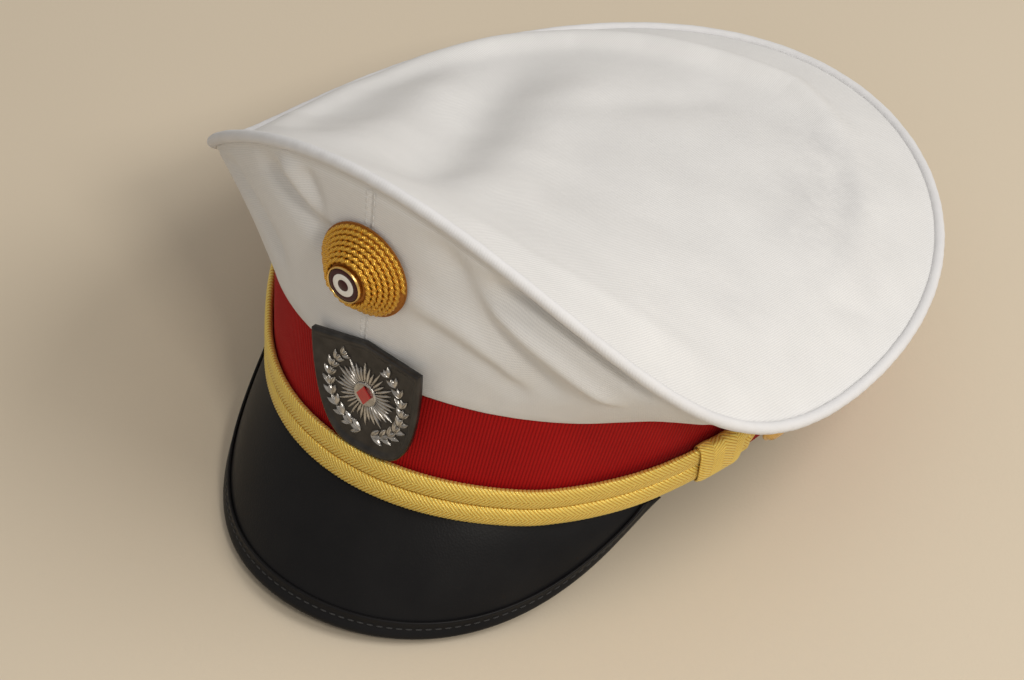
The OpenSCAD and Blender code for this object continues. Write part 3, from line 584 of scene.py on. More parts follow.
v = np.linspace(0, 1, 56)[None, :]
for name, first, last in (("front_left", 0, 90), ("front_right", -90, 0),
                          ("rear_left", 90, 180), ("rear_right", 180, 270)):
    degrees = np.linspace(first, last, 181)[:, None]
    t = np.radians(degrees)
    panel = quarter(t, v)
    turned = (degrees + 180) % 360 - 180
    at = np.stack(np.broadcast_arrays(turned * PER_DEGREE, v * QUARTER_H), -1)
    rise = FOLD_DEPTH * folds(at, folds_on_cloth) * ease(v / 0.14) * ease((1.02 - v) / 0.05)
    rise += 0.22 * ease(v / 0.05) * ease((0.4 - v) / 0.4) * (
        np.sin(t * 37 + 1) + np.sin(t * 61 + 2) + np.sin(t * 23)) * 0.5
    for seam in (first, last):
        rise -= SEAM_DIP * np.exp(-((degrees - seam) * PER_DEGREE / 0.8) ** 2)
    rise -= 0.35 * np.exp(-(((1 - v) * QUARTER_H - 2.2) / 0.7) ** 2)
    side = normals(panel)
    side = side if ((panel - (0, 0, 60)) * side).sum() > 0 else -side
    walled = shell(panel + side * rise[..., None], CLOTH)
    across_cut = np.r_[v[0] * QUARTER_H, [QUARTER_H + 1] * 4, v[0][::-1] * QUARTER_H, [-1] * 4, 0]
    panel_mesh = surface(laid(walled), chart(degrees[:, 0] * PER_DEGREE, across_cut), tube=True, ends=True)
    piece(f"white_quarter_{name}", panel_mesh, quarter_cloth, "white_cotton", f"quarter_{name}")


# ---- Seam stitches ----
# Two rows of white thread run down each of the crown's four seams, one on either side of the join.


def stitches(middles, ways, ups, length, thick):
    """Short rounded threads: a half round profile that swells and shrinks along each stitch."""
    s = np.linspace(-1, 1, 7)[None, :, None, None]
    a = round_angles(6)[None, None, :, None]
    swell = np.sqrt(np.clip(1 - s ** 4, 0.02, 1))
    aside = np.cross(ways, ups)[:, None, None, :]
    points = (middles[:, None, None, :] + ways[:, None, None, :] * s * length / 2
              + aside * np.cos(a) * swell * thick / 2
              + ups[:, None, None, :] * (np.sin(a) * swell * thick / 2 - 0.12 * s ** 2 * thick))
    marks = chart(np.linspace(0, length, 7), np.linspace(0, thick * 3, 7))
    return surface(laid(points), marks, tube=True, ends=True)


def twisted_thread(name, roughness, low, high):
    """Sewing thread, with a wave of colour and height that runs slanting round it: the colour is darker in
    the grooves between the plies, painted shade.
    """
    finish = Finish(name, roughness)
    both, along, across = finish.cut()
    twist = (along + across * 0.6).wave(0.5)
    finish.feed({
        "Base Color": finish.mix(twist, rgb(*low), rgb(*high)),
        "Normal": finish.raised(twist, 0.06)})
    return finish


thread = twisted_thread("white_thread", 0.7, (0.62, 0.62, 0.62), (0.83, 0.83, 0.82))

seam_v = np.linspace(0.06, 0.95, 24)
middles, ways, ups = [], [], []
for seam in (0, 90, 180, 270):
    for aside in (-1.15, 1.15):
        line_t = np.radians(seam + aside / PER_DEGREE)
        path = quarter(np.full_like(seam_v, line_t)[:, None], seam_v[:, None])[:, 0]
        along_t = quarter(np.full_like(seam_v, line_t + 0.01)[:, None], seam_v[:, None])[:, 0]
        way = unit(np.gradient(path, axis=0))
        up = unit(np.cross(way, along_t - path))
        up = up if ((path - (0, 0, 60)) * up).sum() > 0 else -up
        middles.append(path + up * 0.05)
        ways.append(way)
        ups.append(up)
seam_mesh = stitches(*map(np.concatenate, (middles, ways, ups)), length=2.0, thick=0.5)
piece("seam_stitches", seam_mesh, thread, "white_cotton")


# ---- Piping ----
# A cord covered with a bias strip of the same twill, sewn in between the top and the quarters. The fine ridge
# on the real piping's inner side, where the strip is turned over the cord, is not drawn.

middle = rim(round_angles(900))
along = unit(np.roll(middle, -1, 0) - np.roll(middle, 1, 0))
outward = unit(np.cross(along, [0, 0, 1.0]))
outward = outward * np.sign((outward * (middle - middle.mean(0))).sum(-1, keepdims=True))
upward = unit(np.cross(outward, along))
upward = upward * np.sign(upward[:, 2:])
a = round_angles(20)
rows = np.cumsum(np.linalg.norm(np.roll(middle, -1, 0) - middle, axis=1))
pucker = 0.05 * np.sin(rows * 1.1)[:, None] * np.cos(a) + 0.04 * np.sin(rows * 0.37)[:, None]
radius = PIPING_R - 0.06 + pucker
tube = (middle[:, None] + outward[:, None] * (np.cos(a) * radius)[..., None]
        + upward[:, None] * (np.sin(a) * radius)[..., None])
piping_cloth = Finish("piping_twill", 0.86, sheen_weight=0.12)
both, along_cut, across_cut = piping_cloth.cut()
bias = (along_cut + across_cut).wave(0.6)
# The bias weave's wave darkens the colour in its grooves as well as raising its bumps: painted shade, over a
# random tone.
piping_cloth.feed({
    "Base Color": piping_cloth.mix(bias * 0.3 + piping_cloth.noise(0.08, 4.0, both) * 0.7,
                                   rgb(0.66, 0.66, 0.68), rgb(0.80, 0.80, 0.81)),
    "Normal": piping_cloth.raised(bias, 0.05)})
piping_cut = chart(np.r_[0, rows], np.linspace(0, 12.6, a.size + 1))
piece("white_piping", surface(laid(tube), piping_cut, ring=True, tube=True),
      piping_cloth, "piping_cotton", "crown_piping")


# ---- Peak ----
# Pressed fibre covered with black, finely grained leather, sewn to the band's lower edge. It bends
# down to the front and is arched a little between the band and its edge.

PEAK_T = 1.8
LINING_T = 0.6
LAYER = 0.2
BINDING_T = 0.7
PEAK_HALF_W = 75.2
PEAK_MID = 20.5
PEAK_REACH = 104.5
PEAK_DROP = 38
PEAK_CLIMB = 45
PEAK_END = 80
PEAK_ARCH = 2.5
ROOT_END = 66


def peak_flat(s, v):
    """Straight lines from the band's lower edge to an oval edge that drops towards its middle."""
    sewn = np.radians(s * ROOT_END)
    root = oval(band_foot(sewn) - 0.3, -2.4, sewn)
    turn = np.radians(s * PEAK_END)
    edge = np.stack(np.broadcast_arrays(
        PEAK_HALF_W * np.sin(turn) * (1 - 0.025 * s ** 8), -PEAK_MID - PEAK_REACH * np.cos(turn),
        PEAK_CLIMB * np.abs(s) ** 3.5 - PEAK_DROP), -1)
    v = np.asarray(v)[..., None]
    return root * (1 - v) + edge * v


def peak_point(s, v, lift):
    """The straight line raised along the face's normal by an arch, and by a lift off the face."""
    s, v, lift = np.broadcast_arrays(s, v, lift)
    face = unit(np.cross(peak_flat(s, np.minimum(v + 0.02, 1)) - peak_flat(s, v - 0.02),
                         peak_flat(s + 0.01, v) - peak_flat(s - 0.01, v)))
    return peak_flat(s, v) + face * (PEAK_ARCH * 4 * v * (1 - v) + lift)[..., None]


def edge_share(s, inset):
    """How far out along the peak a line lies that is a distance in from its edge."""
    depth = np.linalg.norm(peak_flat(s, 1.0 + 0 * s) - peak_flat(s, 0 * s), axis=-1)
    return 1 - np.minimum(inset / depth, 0.75)


def peak_rows(count):
    """Places from one end of the peak to the other, closer together towards both ends."""
    u = np.linspace(-1, 1, count)
    return (0.25 * u + 0.75 * np.sin(u * np.pi / 2))[:, None]


def peak_sheet(upper, lower):
    """A closed sheet between two lifts, from the band to the inside of the binding."""
    s = peak_rows(150)
    out = edge_share(s, BINDING_T + LAYER) * np.linspace(0, 1, 36)[None, :]
    around = np.concatenate([out, out[:, ::-1]], 1)
    lift = np.repeat([upper, lower], 36)[None, :]
    marks = chart(s[:, 0] * 125, np.r_[np.linspace(0, 70, 36), np.linspace(70, 0, 36), 0])
    points = peak_point(s, around, lift)
    return surface(laid(points), marks, tube=True, ends=True)


def leather(name, pores, smoothness, depth, stains, low, high, spread, roughness, **other):
    """Leather: cloudy stains between two colours, which also add to the roughness, over cells for pores."""
    finish = Finish(name, roughness, **other)
    cells = finish.node("ShaderNodeTexVoronoi", {"feature": "SMOOTH_F1"}, {
        "Vector": finish.node("ShaderNodeTexCoord", out=3), "Scale": pores, "Smoothness": smoothness})
    stain = finish.noise(stains, 5.0)
    finish.feed({
        "Base Color": finish.mix(stain, rgb(*low), rgb(*high)),
        "Roughness": stain * spread + roughness,
        "Normal": finish.raised(cells, depth)})
    return finish


black_leather = leather("black_leather", 1500.0, 0.6, 0.04, 60.0, (0.006, 0.006, 0.007),
                        (0.014, 0.0135, 0.014), 0.12, 0.34, coat_weight=0.05, coat_roughness=0.25)
black_leather.feed({"Specular IOR Level": 0.11})
piece("black_peak", peak_sheet(0, -PEAK_T), black_leather, "black_peak", "peak")

under_leather = clouded("peak_under_leather", 0.6, 300.0, (0.018, 0.035, 0.026), (0.035, 0.06, 0.045),
                        1800.0, 0.12)
piece("peak_under", peak_sheet(-PEAK_T - LAYER, -PEAK_T - LAYER - LINING_T),
      under_leather, "peak_lining", "peak_underlining")


# ---- Peak binding ----
# A strip of the same leather folded over the peak's edge and sewn through with black thread. Its
# folded lip makes a raised line on the peak, and a groove holds the stitches.

UNDER = -PEAK_T - LINING_T - 2 * LAYER
STITCH_IN = 3.9
# The strip's section: distances in from the edge, and lifts off the peak's face.
profile = np.array([
    (6.5, 0.22), (6.5, 0.75), (6.3, 1.0), (5.9, 1.12), (5.5, 1.0), (5.1, 0.78), (4.3, 0.72),
    (STITCH_IN, 0.62), (3.5, 0.72), (2.4, 0.85), (1.5, 0.98), (0.8, 0.85), (0.35, 0.45), (0.1, -0.2),
    (0.0, -1.2), (0.1, -2.1), (0.35, -2.8), (0.8, -3.2), (1.5, UNDER - 0.72), (6.2, UNDER - 0.72),
    (6.5, UNDER - 0.5), (6.5, UNDER), (1.6, UNDER), (0.75, UNDER + 0.15), (0.7, -0.6), (0.75, 0.1),
    (1.6, LAYER), (5.5, LAYER)])
s = peak_rows(220)
loosened = 0.5 * np.abs(s) ** 6 * np.sign(profile[None, :, 1] + 1.2)
bound = peak_point(s, edge_share(s, profile[None, :, 0]), profile[None, :, 1] + loosened)
binding_cut = chart(s[:, 0] * 125, np.linspace(0, 18, len(profile) + 1))
piece("peak_edge", surface(laid(bound), binding_cut, tube=True, ends=True),
      black_leather, "black_peak", "peak_binding")


def along_binding(s, lift=0.72):
    return peak_point(s, edge_share(s, STITCH_IN), lift)


black_thread = twisted_thread("black_thread", 0.5, (0.01, 0.01, 0.01), (0.04, 0.04, 0.042))
fine_s = np.linspace(-0.985, 0.985, 2000)
gone = gone_along(along_binding(fine_s))
stitch_s = np.interp(np.arange(1.6, gone[-1] - 1, 3.1), gone, fine_s)
middles = along_binding(stitch_s)
ways = unit(along_binding(stitch_s + 0.004) - middles)
ups = unit(along_binding(stitch_s, 1.72) - middles)
piece("peak_stitches", stitches(middles, ways, ups, length=2.2, thick=0.55), black_thread, "black_peak")


# ---- Chin cord ----
# Two flat braids of gold thread lie one above the other round the front of the band. Each is plaited
# in a herringbone, and at the sides they are drawn together, one over the other, on the button.

BRAID_W = 7.2
BRAID_T = 3.0
BRAID_GAP = 0.3
PLAIT = 1.35
CORD_FRONT_H = 8.9
CORD_LEAN = 6
CORD_RISE = 16
CORD_OUT = 0.3


def cord_z(t):
    """Height of the cord's middle: an even rise towards the sides, and a further one near the buttons."""
    return CORD_FRONT_H + CORD_LEAN * (1 - np.cos(t)) + CORD_RISE * from_front(t, 38, 54)


def cord_out(t):
    """How far the cord's middle is out from the band: half its thickness, and a bit more at the sides."""
    return CORD_OUT + BRAID_T / 2 + 1.6 * from_front(t, 44, 20)


def cord_frame(t):
    """The cord's middle line on the band, with unit lines along it, up the band and out of it."""
    half = np.radians(0.5)
    line = oval(cord_z(t), cord_out(t), t)
    along = unit(oval(cord_z(t + half), cord_out(t + half), t + half)
                 - oval(cord_z(t - half), cord_out(t - half), t - half))
    up = oval(cord_z(t) + 1, cord_out(t), t) - oval(cord_z(t) - 1, cord_out(t), t)
    up = unit(up - along * (up * along).sum(-1, keepdims=True))
    return line, along, up, np.cross(along, up)


def power(wave, exponent):
    """The wave's size to a power, with the wave's own sign: round sections made fuller or flatter."""
    return np.sign(wave) * np.abs(wave) ** exponent


def herringbone(along, across):
    """Rounded strands that slant from the middle line to both edges, half a strand apart."""
    place = along / PLAIT + np.abs(across) / (PLAIT * 1.05) + 0.5 * (across > 0)
    strand = 1 - (2 * (place % 1) - 1) ** 2
    return strand ** 0.6


def gold_plait(name):
    """Gold thread: each strand is a bundle of fine threads. The colour is painted dark and reddish deep
    between strands and pale yellow on their tops and on the fine threads: painted shade and painted
    highlight.
    """
    gold = Finish(name, 0.34, metallic=0.5, sheen_weight=0.08)
    both, along, across = gold.cut()
    place = along / PLAIT + across.size() / (PLAIT * 1.05) + (across > 0.0) * 0.5
    beside = place.part() * 2 - 1
    strand = 1 - beside * beside
    fine = (place * 3.0).part() * 2 - 1
    fine = 1 - fine * fine
    twist = (along - across.size()).wave(0.62)
    # Painted shade between the strands and painted highlight on their tops and fine threads.
    colour = gold.node("ShaderNodeValToRGB", {"stops": [
        (0.0, rgb(0.16, 0.035, 0.004)), (0.24, rgb(0.50, 0.20, 0.014)), (0.48, rgb(0.96, 0.62, 0.07)),
        (1.0, rgb(1.0, 0.88, 0.30))]}, {0: strand * 0.62 + fine * 0.16 + gold.noise(0.9, 2.0, both) * 0.22})
    gold.feed({
        "Base Color": colour,
        "Roughness": 0.42 - strand * 0.14,
        "Normal": gold.raised(fine * 0.6 + twist * 0.4, 0.12)})
    return gold


plaited_gold = gold_plait("gold_braid")
BUTTON_AT = 88
BRAID_END = BUTTON_AT - 1.9
t = np.radians(np.linspace(-BRAID_END, BRAID_END, 1500))
line, along, up, face = cord_frame(t)
gone = gone_along(line)[:, None]
thin = from_front(t, BRAID_END - 4.3, 1.6)[:, None]
stack = from_front(t, BRAID_END - 2.7, 2.2)[:, None]
a = round_angles(44)[None, :]
EYE_W = 5
EYE_T = 0.725
wide = (BRAID_W * (1 - stack) + EYE_W * stack) / 2
thick = (BRAID_T * (1 - thin) + (BRAID_T / 2 - 0.05) * thin) / 2
eye_a = round_angles(60)[:, None]
eye_b = round_angles(12)[None, :]
eye_reach = 2.95 + 1.42 * np.cos(eye_b) - 0.10 * np.abs(np.sin(eye_a * 9 + eye_b))
eye_lift = EYE_T / 2 * power(np.sin(eye_b), 0.6) + 0 * eye_reach
eye_cut = chart(np.linspace(0, 24, 61), np.linspace(0.2, 6, 13))


def axis_frame(degrees):
    """The point on the ribbon's face under the cord, and the lines along, up and out there."""
    t = np.radians([degrees])
    line, along, up, face = cord_frame(t)
    return oval(cord_z(t), 0, t)[0], along[0], up[0], face[0]


for name, side in (("upper", 1), ("lower", -1)):
    across = power(np.cos(a), 0.8) * wide
    proud = power(np.sin(a), 0.65) * thick
    sunk = (1 - herringbone(gone, across)) * 0.38 * (1 - 0.5 * thin)
    across_in = across * (1 - sunk * 0.5 / wide)
    proud_in = proud * (1 - sunk / thick)
    middle = (line + up * side * (BRAID_W + BRAID_GAP) / 2 * (1 - stack)
              + face * side * (BRAID_T + 0.1) / 4 * thin)
    points = middle[:, None] + up[:, None] * across_in[..., None] + face[:, None] * proud_in[..., None]
    marks = np.stack(np.broadcast_arrays(gone, np.concatenate([across, across[:, :1]], 1)), -1)
    piece(f"gold_braid_{name}", surface(laid(points), marks, tube=True, inside=line.mean(0)),
          plaited_gold, "gold_braid", f"chin_cord_{name}")
    # Each end is sewn into a flat eye that sits on the button's shank.
    for end, degrees in (("left", BUTTON_AT), ("right", -BUTTON_AT)):
        foot, eye_along, eye_up, eye_out = axis_frame(degrees)
        middle = foot + eye_out * (cord_out(np.radians(degrees)) + side * (EYE_T + 0.1) / 2)
        ring = (middle + eye_along * (np.cos(eye_a) * eye_reach)[..., None]
                + eye_up * (np.sin(eye_a) * eye_reach)[..., None] + eye_out * eye_lift[..., None])
        piece(f"braid_eye_{name}_{end}", surface(laid(ring), eye_cut, ring=True, tube=True),
              plaited_gold, "gold_braid")


# ---- Cord slides ----
# A sleeve of the same plaited gold thread is wound round both braids near each end. It slides along
# them to take up the cord's slack.

SLIDE_AT = 75
SLIDE_HALF = 4.5
SLIDE_L = 14.7
b = np.r_[np.linspace(-1, 1, 72), np.linspace(1, -1, 12)][None, :]
outer_face = (np.arange(b.size) < 72)[None, :]
# The turns of the thread are spaced evenly along the sleeve's flat oval section.
fine_a = np.linspace(0, 2 * np.pi, 2001)
section = gone_along(np.stack([8.7 * power(np.cos(fine_a), 0.55), 2.8 * power(np.sin(fine_a), 0.7)], -1))
around = np.linspace(0, section[-1], 241)[:, None]
a = np.interp(around[:-1], section, fine_a)
rounded = np.where(outer_face, 1 - 0.62 * np.abs(b) ** 8, 0)
half_up = 7.9 + 0.9 * rounded
half_out = 2.05 + 0.85 * rounded
half_length = np.abs(SLIDE_L / 2 * b) - 3.7
sunk = np.where(outer_face, (1 - herringbone(around[:-1], half_length)) * 0.3, 0)
waist = np.where(outer_face, 0.25 * (1 - b ** 2), 0)
cross_up = power(np.cos(a), 0.55) * (half_up - sunk - waist)
cross_out = power(np.sin(a), 0.7) * (half_out - sunk) + 0.3 * rounded
marks = np.stack(np.broadcast_arrays(around, np.concatenate([half_length, half_length[:, :1]], 1)), -1)
for side_name, side in (("left", 1), ("right", -1)):
    line, along, up, face = cord_frame(np.radians(side * (SLIDE_AT + SLIDE_HALF * b[0])))
    points = line[None] + up[None] * cross_up[..., None] + face[None] * cross_out[..., None]
    piece(f"gold_slide_{side_name}", surface(laid(points), marks, ring=True, tube=True),
          plaited_gold, "gold_braid", f"cord_slide_{side_name}", body=f"slide_{side_name}")


# ---- Side buttons ----
# Small domed gilt buttons hold the ends of the chin cord. Each has a rolled edge and a roped ring,
# and a shank through the band to a washer inside.


def spun(profile, steps, place, axes, poles=(0, -1), loop=False, ripple=(0.0, 0, 0.0)):
    """A mesh of a profile of radius and height spun round an axis. A ripple adds small waves of a height
    and a count near one radius. The map's rows go round it at its widest and its columns along it."""
    along, up, out = axes
    radius, height = np.asarray(profile, float).T
    deep, count, near = ripple
    a = round_angles(steps)[:, None]
    lift = height + deep * np.exp(-((radius - near) / 0.35) ** 2) * np.sin(a * count)
    points = (place + along * (np.cos(a) * radius)[..., None] + up * (np.sin(a) * radius)[..., None]
              + out * lift[..., None])
    gone = gone_along(np.array([*profile, profile[0]] if loop else profile, float))
    return surface(laid(points), chart(np.linspace(0, 2 * np.pi * radius.max(), steps + 1), gone),
                   ring=True, tube=loop, poles=poles, inside=place + out * height.mean())


gilt = clouded("gilt", 0.16, 180.0, (0.62, 0.36, 0.09), (0.92, 0.66, 0.26), 700.0, 0.03,
               detail=5.0, spread=0.2, metallic=1.0)
BUTTON_R = 6.6
DOME_H = 3
dome_foot = cord_out(np.radians(BUTTON_AT)) + BRAID_T / 2 + CORD_OUT
dome_r = (BUTTON_R ** 2 + DOME_H ** 2) / (2 * DOME_H)
shank_foot = -3.65
dome_middle = dome_foot + 1 + DOME_H - dome_r
dome = [(r, dome_middle + math.sqrt(dome_r ** 2 - r ** 2)) for r in np.linspace(5.6, 0.3, 22)]
button_profile = (
    [(0.2, shank_foot), (1.9, shank_foot), (2.1, shank_foot + 0.2), (1.9, shank_foot + 0.4),
     (1.2, shank_foot + 0.4), (1.2, dome_foot), (6.1, dome_foot), (6.5, dome_foot + 0.12),
     (BUTTON_R, dome_foot + 0.5), (6.5, dome_foot + 0.88), (6.1, dome_foot + 1.0), (5.9, dome_foot + 1.05)]
    + dome)
for side_name, degrees in (("left", BUTTON_AT), ("right", -BUTTON_AT)):
    place, *axes = axis_frame(degrees)
    piece(f"gilt_button_{side_name}", spun(button_profile, 96, place, axes, ripple=(0.16, 36, 4.9)),
          gilt, "gold_metal", f"side_button_{side_name}", body=f"button_{side_name}")

plain_steel = Finish("plain_steel", 0.4, metallic=1.0)
drawn = plain_steel.noise(900.0, 4.0)
plain_steel.feed({
    "Base Color": plain_steel.mix(drawn, rgb(0.36, 0.36, 0.38), rgb(0.58, 0.58, 0.60)),
    "Roughness": drawn * 0.25 + 0.28,
    "Normal": plain_steel.raised(drawn, 0.02)})
finish_node(plain_steel, "side_button_washers", "badge_nuts", "crown_wire", "front_stay")
finish_node(gilt, "wire_ferrule", "cockade_back_plate")


# ---- Cockade ----
# A cone wound with turns of twisted gold wire, on a gilt back plate. A gilt bezel at its end
# holds a disc of dark red enamel with a white ring.

FRONT_LEAN = math.radians(10.416)
FRONT = np.array([0, -114.970, 85.0])


def tipped(angle):
    """A quarter turn and an angle more about X, as rows for a point's own axes."""
    c, s = math.cos(math.pi / 2 + angle), math.sin(math.pi / 2 + angle)
    return np.array([[1, 0, 0], [0, c, s], [0, -s, c]])


front_axes = tipped(FRONT_LEAN)
CONE_FOOT = 0.9
CONE_TOP = 9.5
# The cone is dark brown, far darker than the gilt: painted shade where it shows in the gaps between the
# wire's turns.
wound = Finish("wound_gold_base", 0.5, metallic=0.5)
wound_noise = wound.noise(1500.0, 3.0)
wound.feed({
    "Base Color": wound.mix(wound_noise, rgb(0.20, 0.055, 0.006), rgb(0.50, 0.20, 0.02)),
    "Normal": wound.raised(wound_noise, 0.12)})
finish_node(wound, "cockade_cone")

wire_gold = Finish("twisted_gold_wire", 0.28, metallic=0.8)
both, along_cut, across_cut = wire_gold.cut()
# The wire's colour follows the lay of its twist, dark reddish brown in the grooves and pale yellow on the
# crests, the same wave as its bumps: painted shade and painted highlight.
lay = (along_cut * 1.25 + across_cut).wave(0.8)
wire_gold.feed({
    "Base Color": wire_gold.node("ShaderNodeValToRGB", {"stops": [
        (0.0, rgb(0.24, 0.05, 0.006)), (0.4, rgb(0.78, 0.38, 0.035)), (1.0, rgb(1.0, 0.72, 0.15))]},
        {0: lay * 0.7 + wire_gold.noise(0.9, 2.0, both) * 0.3}),
    "Normal": wire_gold.raised(lay, 0.08)})
TURNS = 6.6
WIRE_R = 0.82
WIDEST = 14.3
NARROWEST = 6.5
way = np.linspace(-0.04, 0.97, 1650)
lean_out = unit(np.array([8.0, WIDEST - NARROWEST])) * WIRE_R
reach = WIDEST + (NARROWEST - WIDEST) * way + lean_out[0]
height = CONE_FOOT + 0.6 + 8.0 * way + lean_out[1]
turn = 2 * np.pi * TURNS * (way - way[0]) / (way[-1] - way[0])
path = np.stack([reach * np.cos(turn), reach * np.sin(turn), height], -1)
ahead = unit(np.gradient(path, axis=0))
aside = unit(np.cross(ahead, [0, 0, 1.0]))
above = np.cross(aside, ahead)
gone = gone_along(path)
a = round_angles(12)[None, :]
# Two strands twisted together.
strands = 0.76 * (1 + 0.24 * np.cos(2 * (a - gone[:, None] * 1.45)))
wire = (path[:, None] + aside[:, None] * (np.cos(a) * strands)[..., None]
        + above[:, None] * (np.sin(a) * strands)[..., None])
wire_cut = chart(gone, np.linspace(0, 4.4, 13))
wire_mesh = surface(laid(wire @ front_axes + FRONT), wire_cut, tube=True, ends=True)
piece("cockade_wire", wire_mesh, wire_gold, "gold_braid", "cockade_winding")


def enamel(name, roughness, low, high, coat):
    return clouded(name, roughness, 500.0, low, high, 300.0, 0.03, coat_weight=coat, coat_roughness=0.05)


dark_enamel = enamel("dark_enamel", 0.16, (0.030, 0.003, 0.006), (0.055, 0.006, 0.010), 0.1)
dark_enamel.feed({"Specular IOR Level": 0.25})
white_enamel = enamel("white_enamel", 0.14, (0.74, 0.72, 0.68), (0.86, 0.85, 0.82), 0.5)

# Sections of radius and height, the height from the foot of each piece.
RIM = [(0.2, 0), (5.9, 0), (6.2, 0.25), (6.25, 1.2), (6.15, 1.6), (5.95, 1.78), (5.75, 1.72), (5.6, 1.5),
       (5.55, 0.62), (0.2, 0.62)]
DISC = [(0.2, 0), (5.3, 0), (5.48, 0.1), (5.48, 0.85), (5.3, 0.98), (4.0, 1.02), (3.9, 0.98), (3.9, 0.5),
        (1.9, 0.5), (1.9, 1.0), (1.8, 1.06), (0.3, 1.1)]
RING = [(3.84, 0.56), (3.84, 1.0), (3.7, 1.06), (2.1, 1.08), (1.96, 1.02), (1.96, 0.56)]
rim_at = FRONT + front_axes[2] * (CONE_TOP + 0.05)
disc_at = FRONT + front_axes[2] * (CONE_TOP + 0.7)
piece("cockade_gilt_rim", spun(RIM, 96, rim_at, front_axes, ripple=(0.05, 48, 6.15)),
      gilt, "gold_metal", "cockade_bezel")
piece("cockade_dark_enamel", spun(DISC, 96, disc_at, front_axes),
      dark_enamel, "maroon_enamel", "cockade_enamel_dark")
piece("cockade_white_enamel", spun(RING, 96, disc_at, front_axes, poles=(), loop=True),
      white_enamel, "white_enamel", "cockade_enamel_white")


# ---- Badge ----
# A shield of dark metal with a bevelled rim, and on it a bright sunburst between two branches of
# laurel. It stands in front of the band and is fixed by two studs.

BADGE_LEAN = math.radians(7.659)
BADGE = np.array([2.7, -109.918, 55.0])
TWIST = math.radians(5.5)
spin = np.array([[math.cos(TWIST), math.sin(TWIST), 0], [-math.sin(TWIST), math.cos(TWIST), 0], [0, 0, 1]])
badge_axes = spin @ tipped(BADGE_LEAN)


def on_badge(points):
    """Points of the badge's own axes, X across it, Y up it and Z out of it, set on the band."""
    return np.asarray(points, float) @ badge_axes + BADGE


SHIELD_HALF_W = 21
SHIELD_H = 38.5
SHIELD_TIP = 3.3


def shield_line(inset):
    """The shield's outline drawn in by a distance: powered sine and cosine sides and a raised top."""
    low = SHIELD_H - inset * 1.1
    a = np.linspace(0, np.pi / 2, 48)
    wide = SHIELD_HALF_W - inset
    side = np.stack([wide * np.cos(a) ** 0.56, -inset - (low - inset) * np.sin(a) ** 1.05], -1)
    tip = np.array([0, SHIELD_TIP - inset * 1.1])
    other = side[::-1][1:] * [-1, 1]
    k = np.linspace(0, 1, 16)[1:, None]
    left = other[-1] * (1 - k) + tip * k
    right = tip * (1 - k[:-1]) + side[0] * k[:-1]
    return np.concatenate([side, other, left, right])


# How far each line of the shield lies in from its outline, and its height.
STEPS = [(14, 0.0), (6, 0.0), (0.25, 0.0), (0.0, 0.25), (0.0, 2.0), (0.3, 2.4), (0.8, 2.58), (1.5, 2.35),
         (2.2, 1.9), (2.7, 1.66), (3.2, 1.6), (6, 1.6), (14, 1.6)]
outline = np.stack([np.pad(shield_line(inset), ((0, 0), (0, 1)), constant_values=z) for inset, z in STEPS], 1)
gunmetal = clouded("gunmetal", 0.26, 220.0, (0.022, 0.021, 0.022), (0.10, 0.095, 0.09), 2200.0, 0.05,
                   detail=6.0, bump_detail=2.0, spread=0.25, metallic=0.9)
shield_cut = chart(np.linspace(0, 120, len(outline) + 1), np.linspace(0, 30, len(STEPS)))
shield_middle = on_badge((0, -16, 0.8))
piece("badge_dark_shield",
      surface(laid(on_badge(outline)), shield_cut, ring=True, poles=(0, -1), inside=shield_middle),
      gunmetal, "dark_metal", "badge_shield")
for number, (stud_y, end) in enumerate(((-18.5, -5.78), (-28.5, -5.07)), start=1):
    stud_profile = [(0.2, end), (0.9, end), (1.1, end + 0.2), (1.1, 0.4), (0.2, 0.4)]
    piece(f"badge_stud_{number}", spun(stud_profile, 32, on_badge((0, stud_y, 0)), badge_axes),
          gunmetal, "dark_metal")

silver = clouded("bright_silver", 0.14, 420.0, (0.16, 0.14, 0.12), (0.78, 0.76, 0.73), 1300.0, 0.06,
                 detail=5.0, spread=0.25, metallic=1.0)
MID = np.array([0, -16.0])
FLOOR = 1.65


def leaf_shapes(feet, headings, lengths, widths, thick, ridge=0.35):
    """Pointed domes: a width that rises and falls along each leaf, over a rounded and creased back."""
    s = np.linspace(0, 1, 12)[None, :, None]
    c = np.linspace(-1, 1, 9)[None, None, :]
    long, wide = [np.broadcast_to(q, headings.shape)[:, None, None] for q in (lengths, widths)]
    x = s * long + 0 * c
    y = c * wide / 2 * np.sin(np.pi * np.clip(s, 0.012, 0.988)) ** 0.8
    z = (FLOOR + thick * np.sin(np.pi * np.clip(s, 0.03, 0.97)) ** 0.5 * (1 - c ** 2) ** 0.5
         * (1 - ridge * np.exp(-(c / 0.16) ** 2)))
    cos, sin = np.cos(headings)[:, None, None], np.sin(headings)[:, None, None]
    across = feet[:, 0, None, None] + cos * x - sin * y
    return np.stack(np.broadcast_arrays(across, feet[:, 1, None, None] + sin * x + cos * y, z), -1)


def relief(name, shapes, *nodes):
    marks = chart(np.linspace(0, 5, shapes.shape[1]), np.linspace(0, 3, shapes.shape[2]))
    piece(name, surface(laid(on_badge(shapes)), marks), silver, "silver_metal", *nodes)


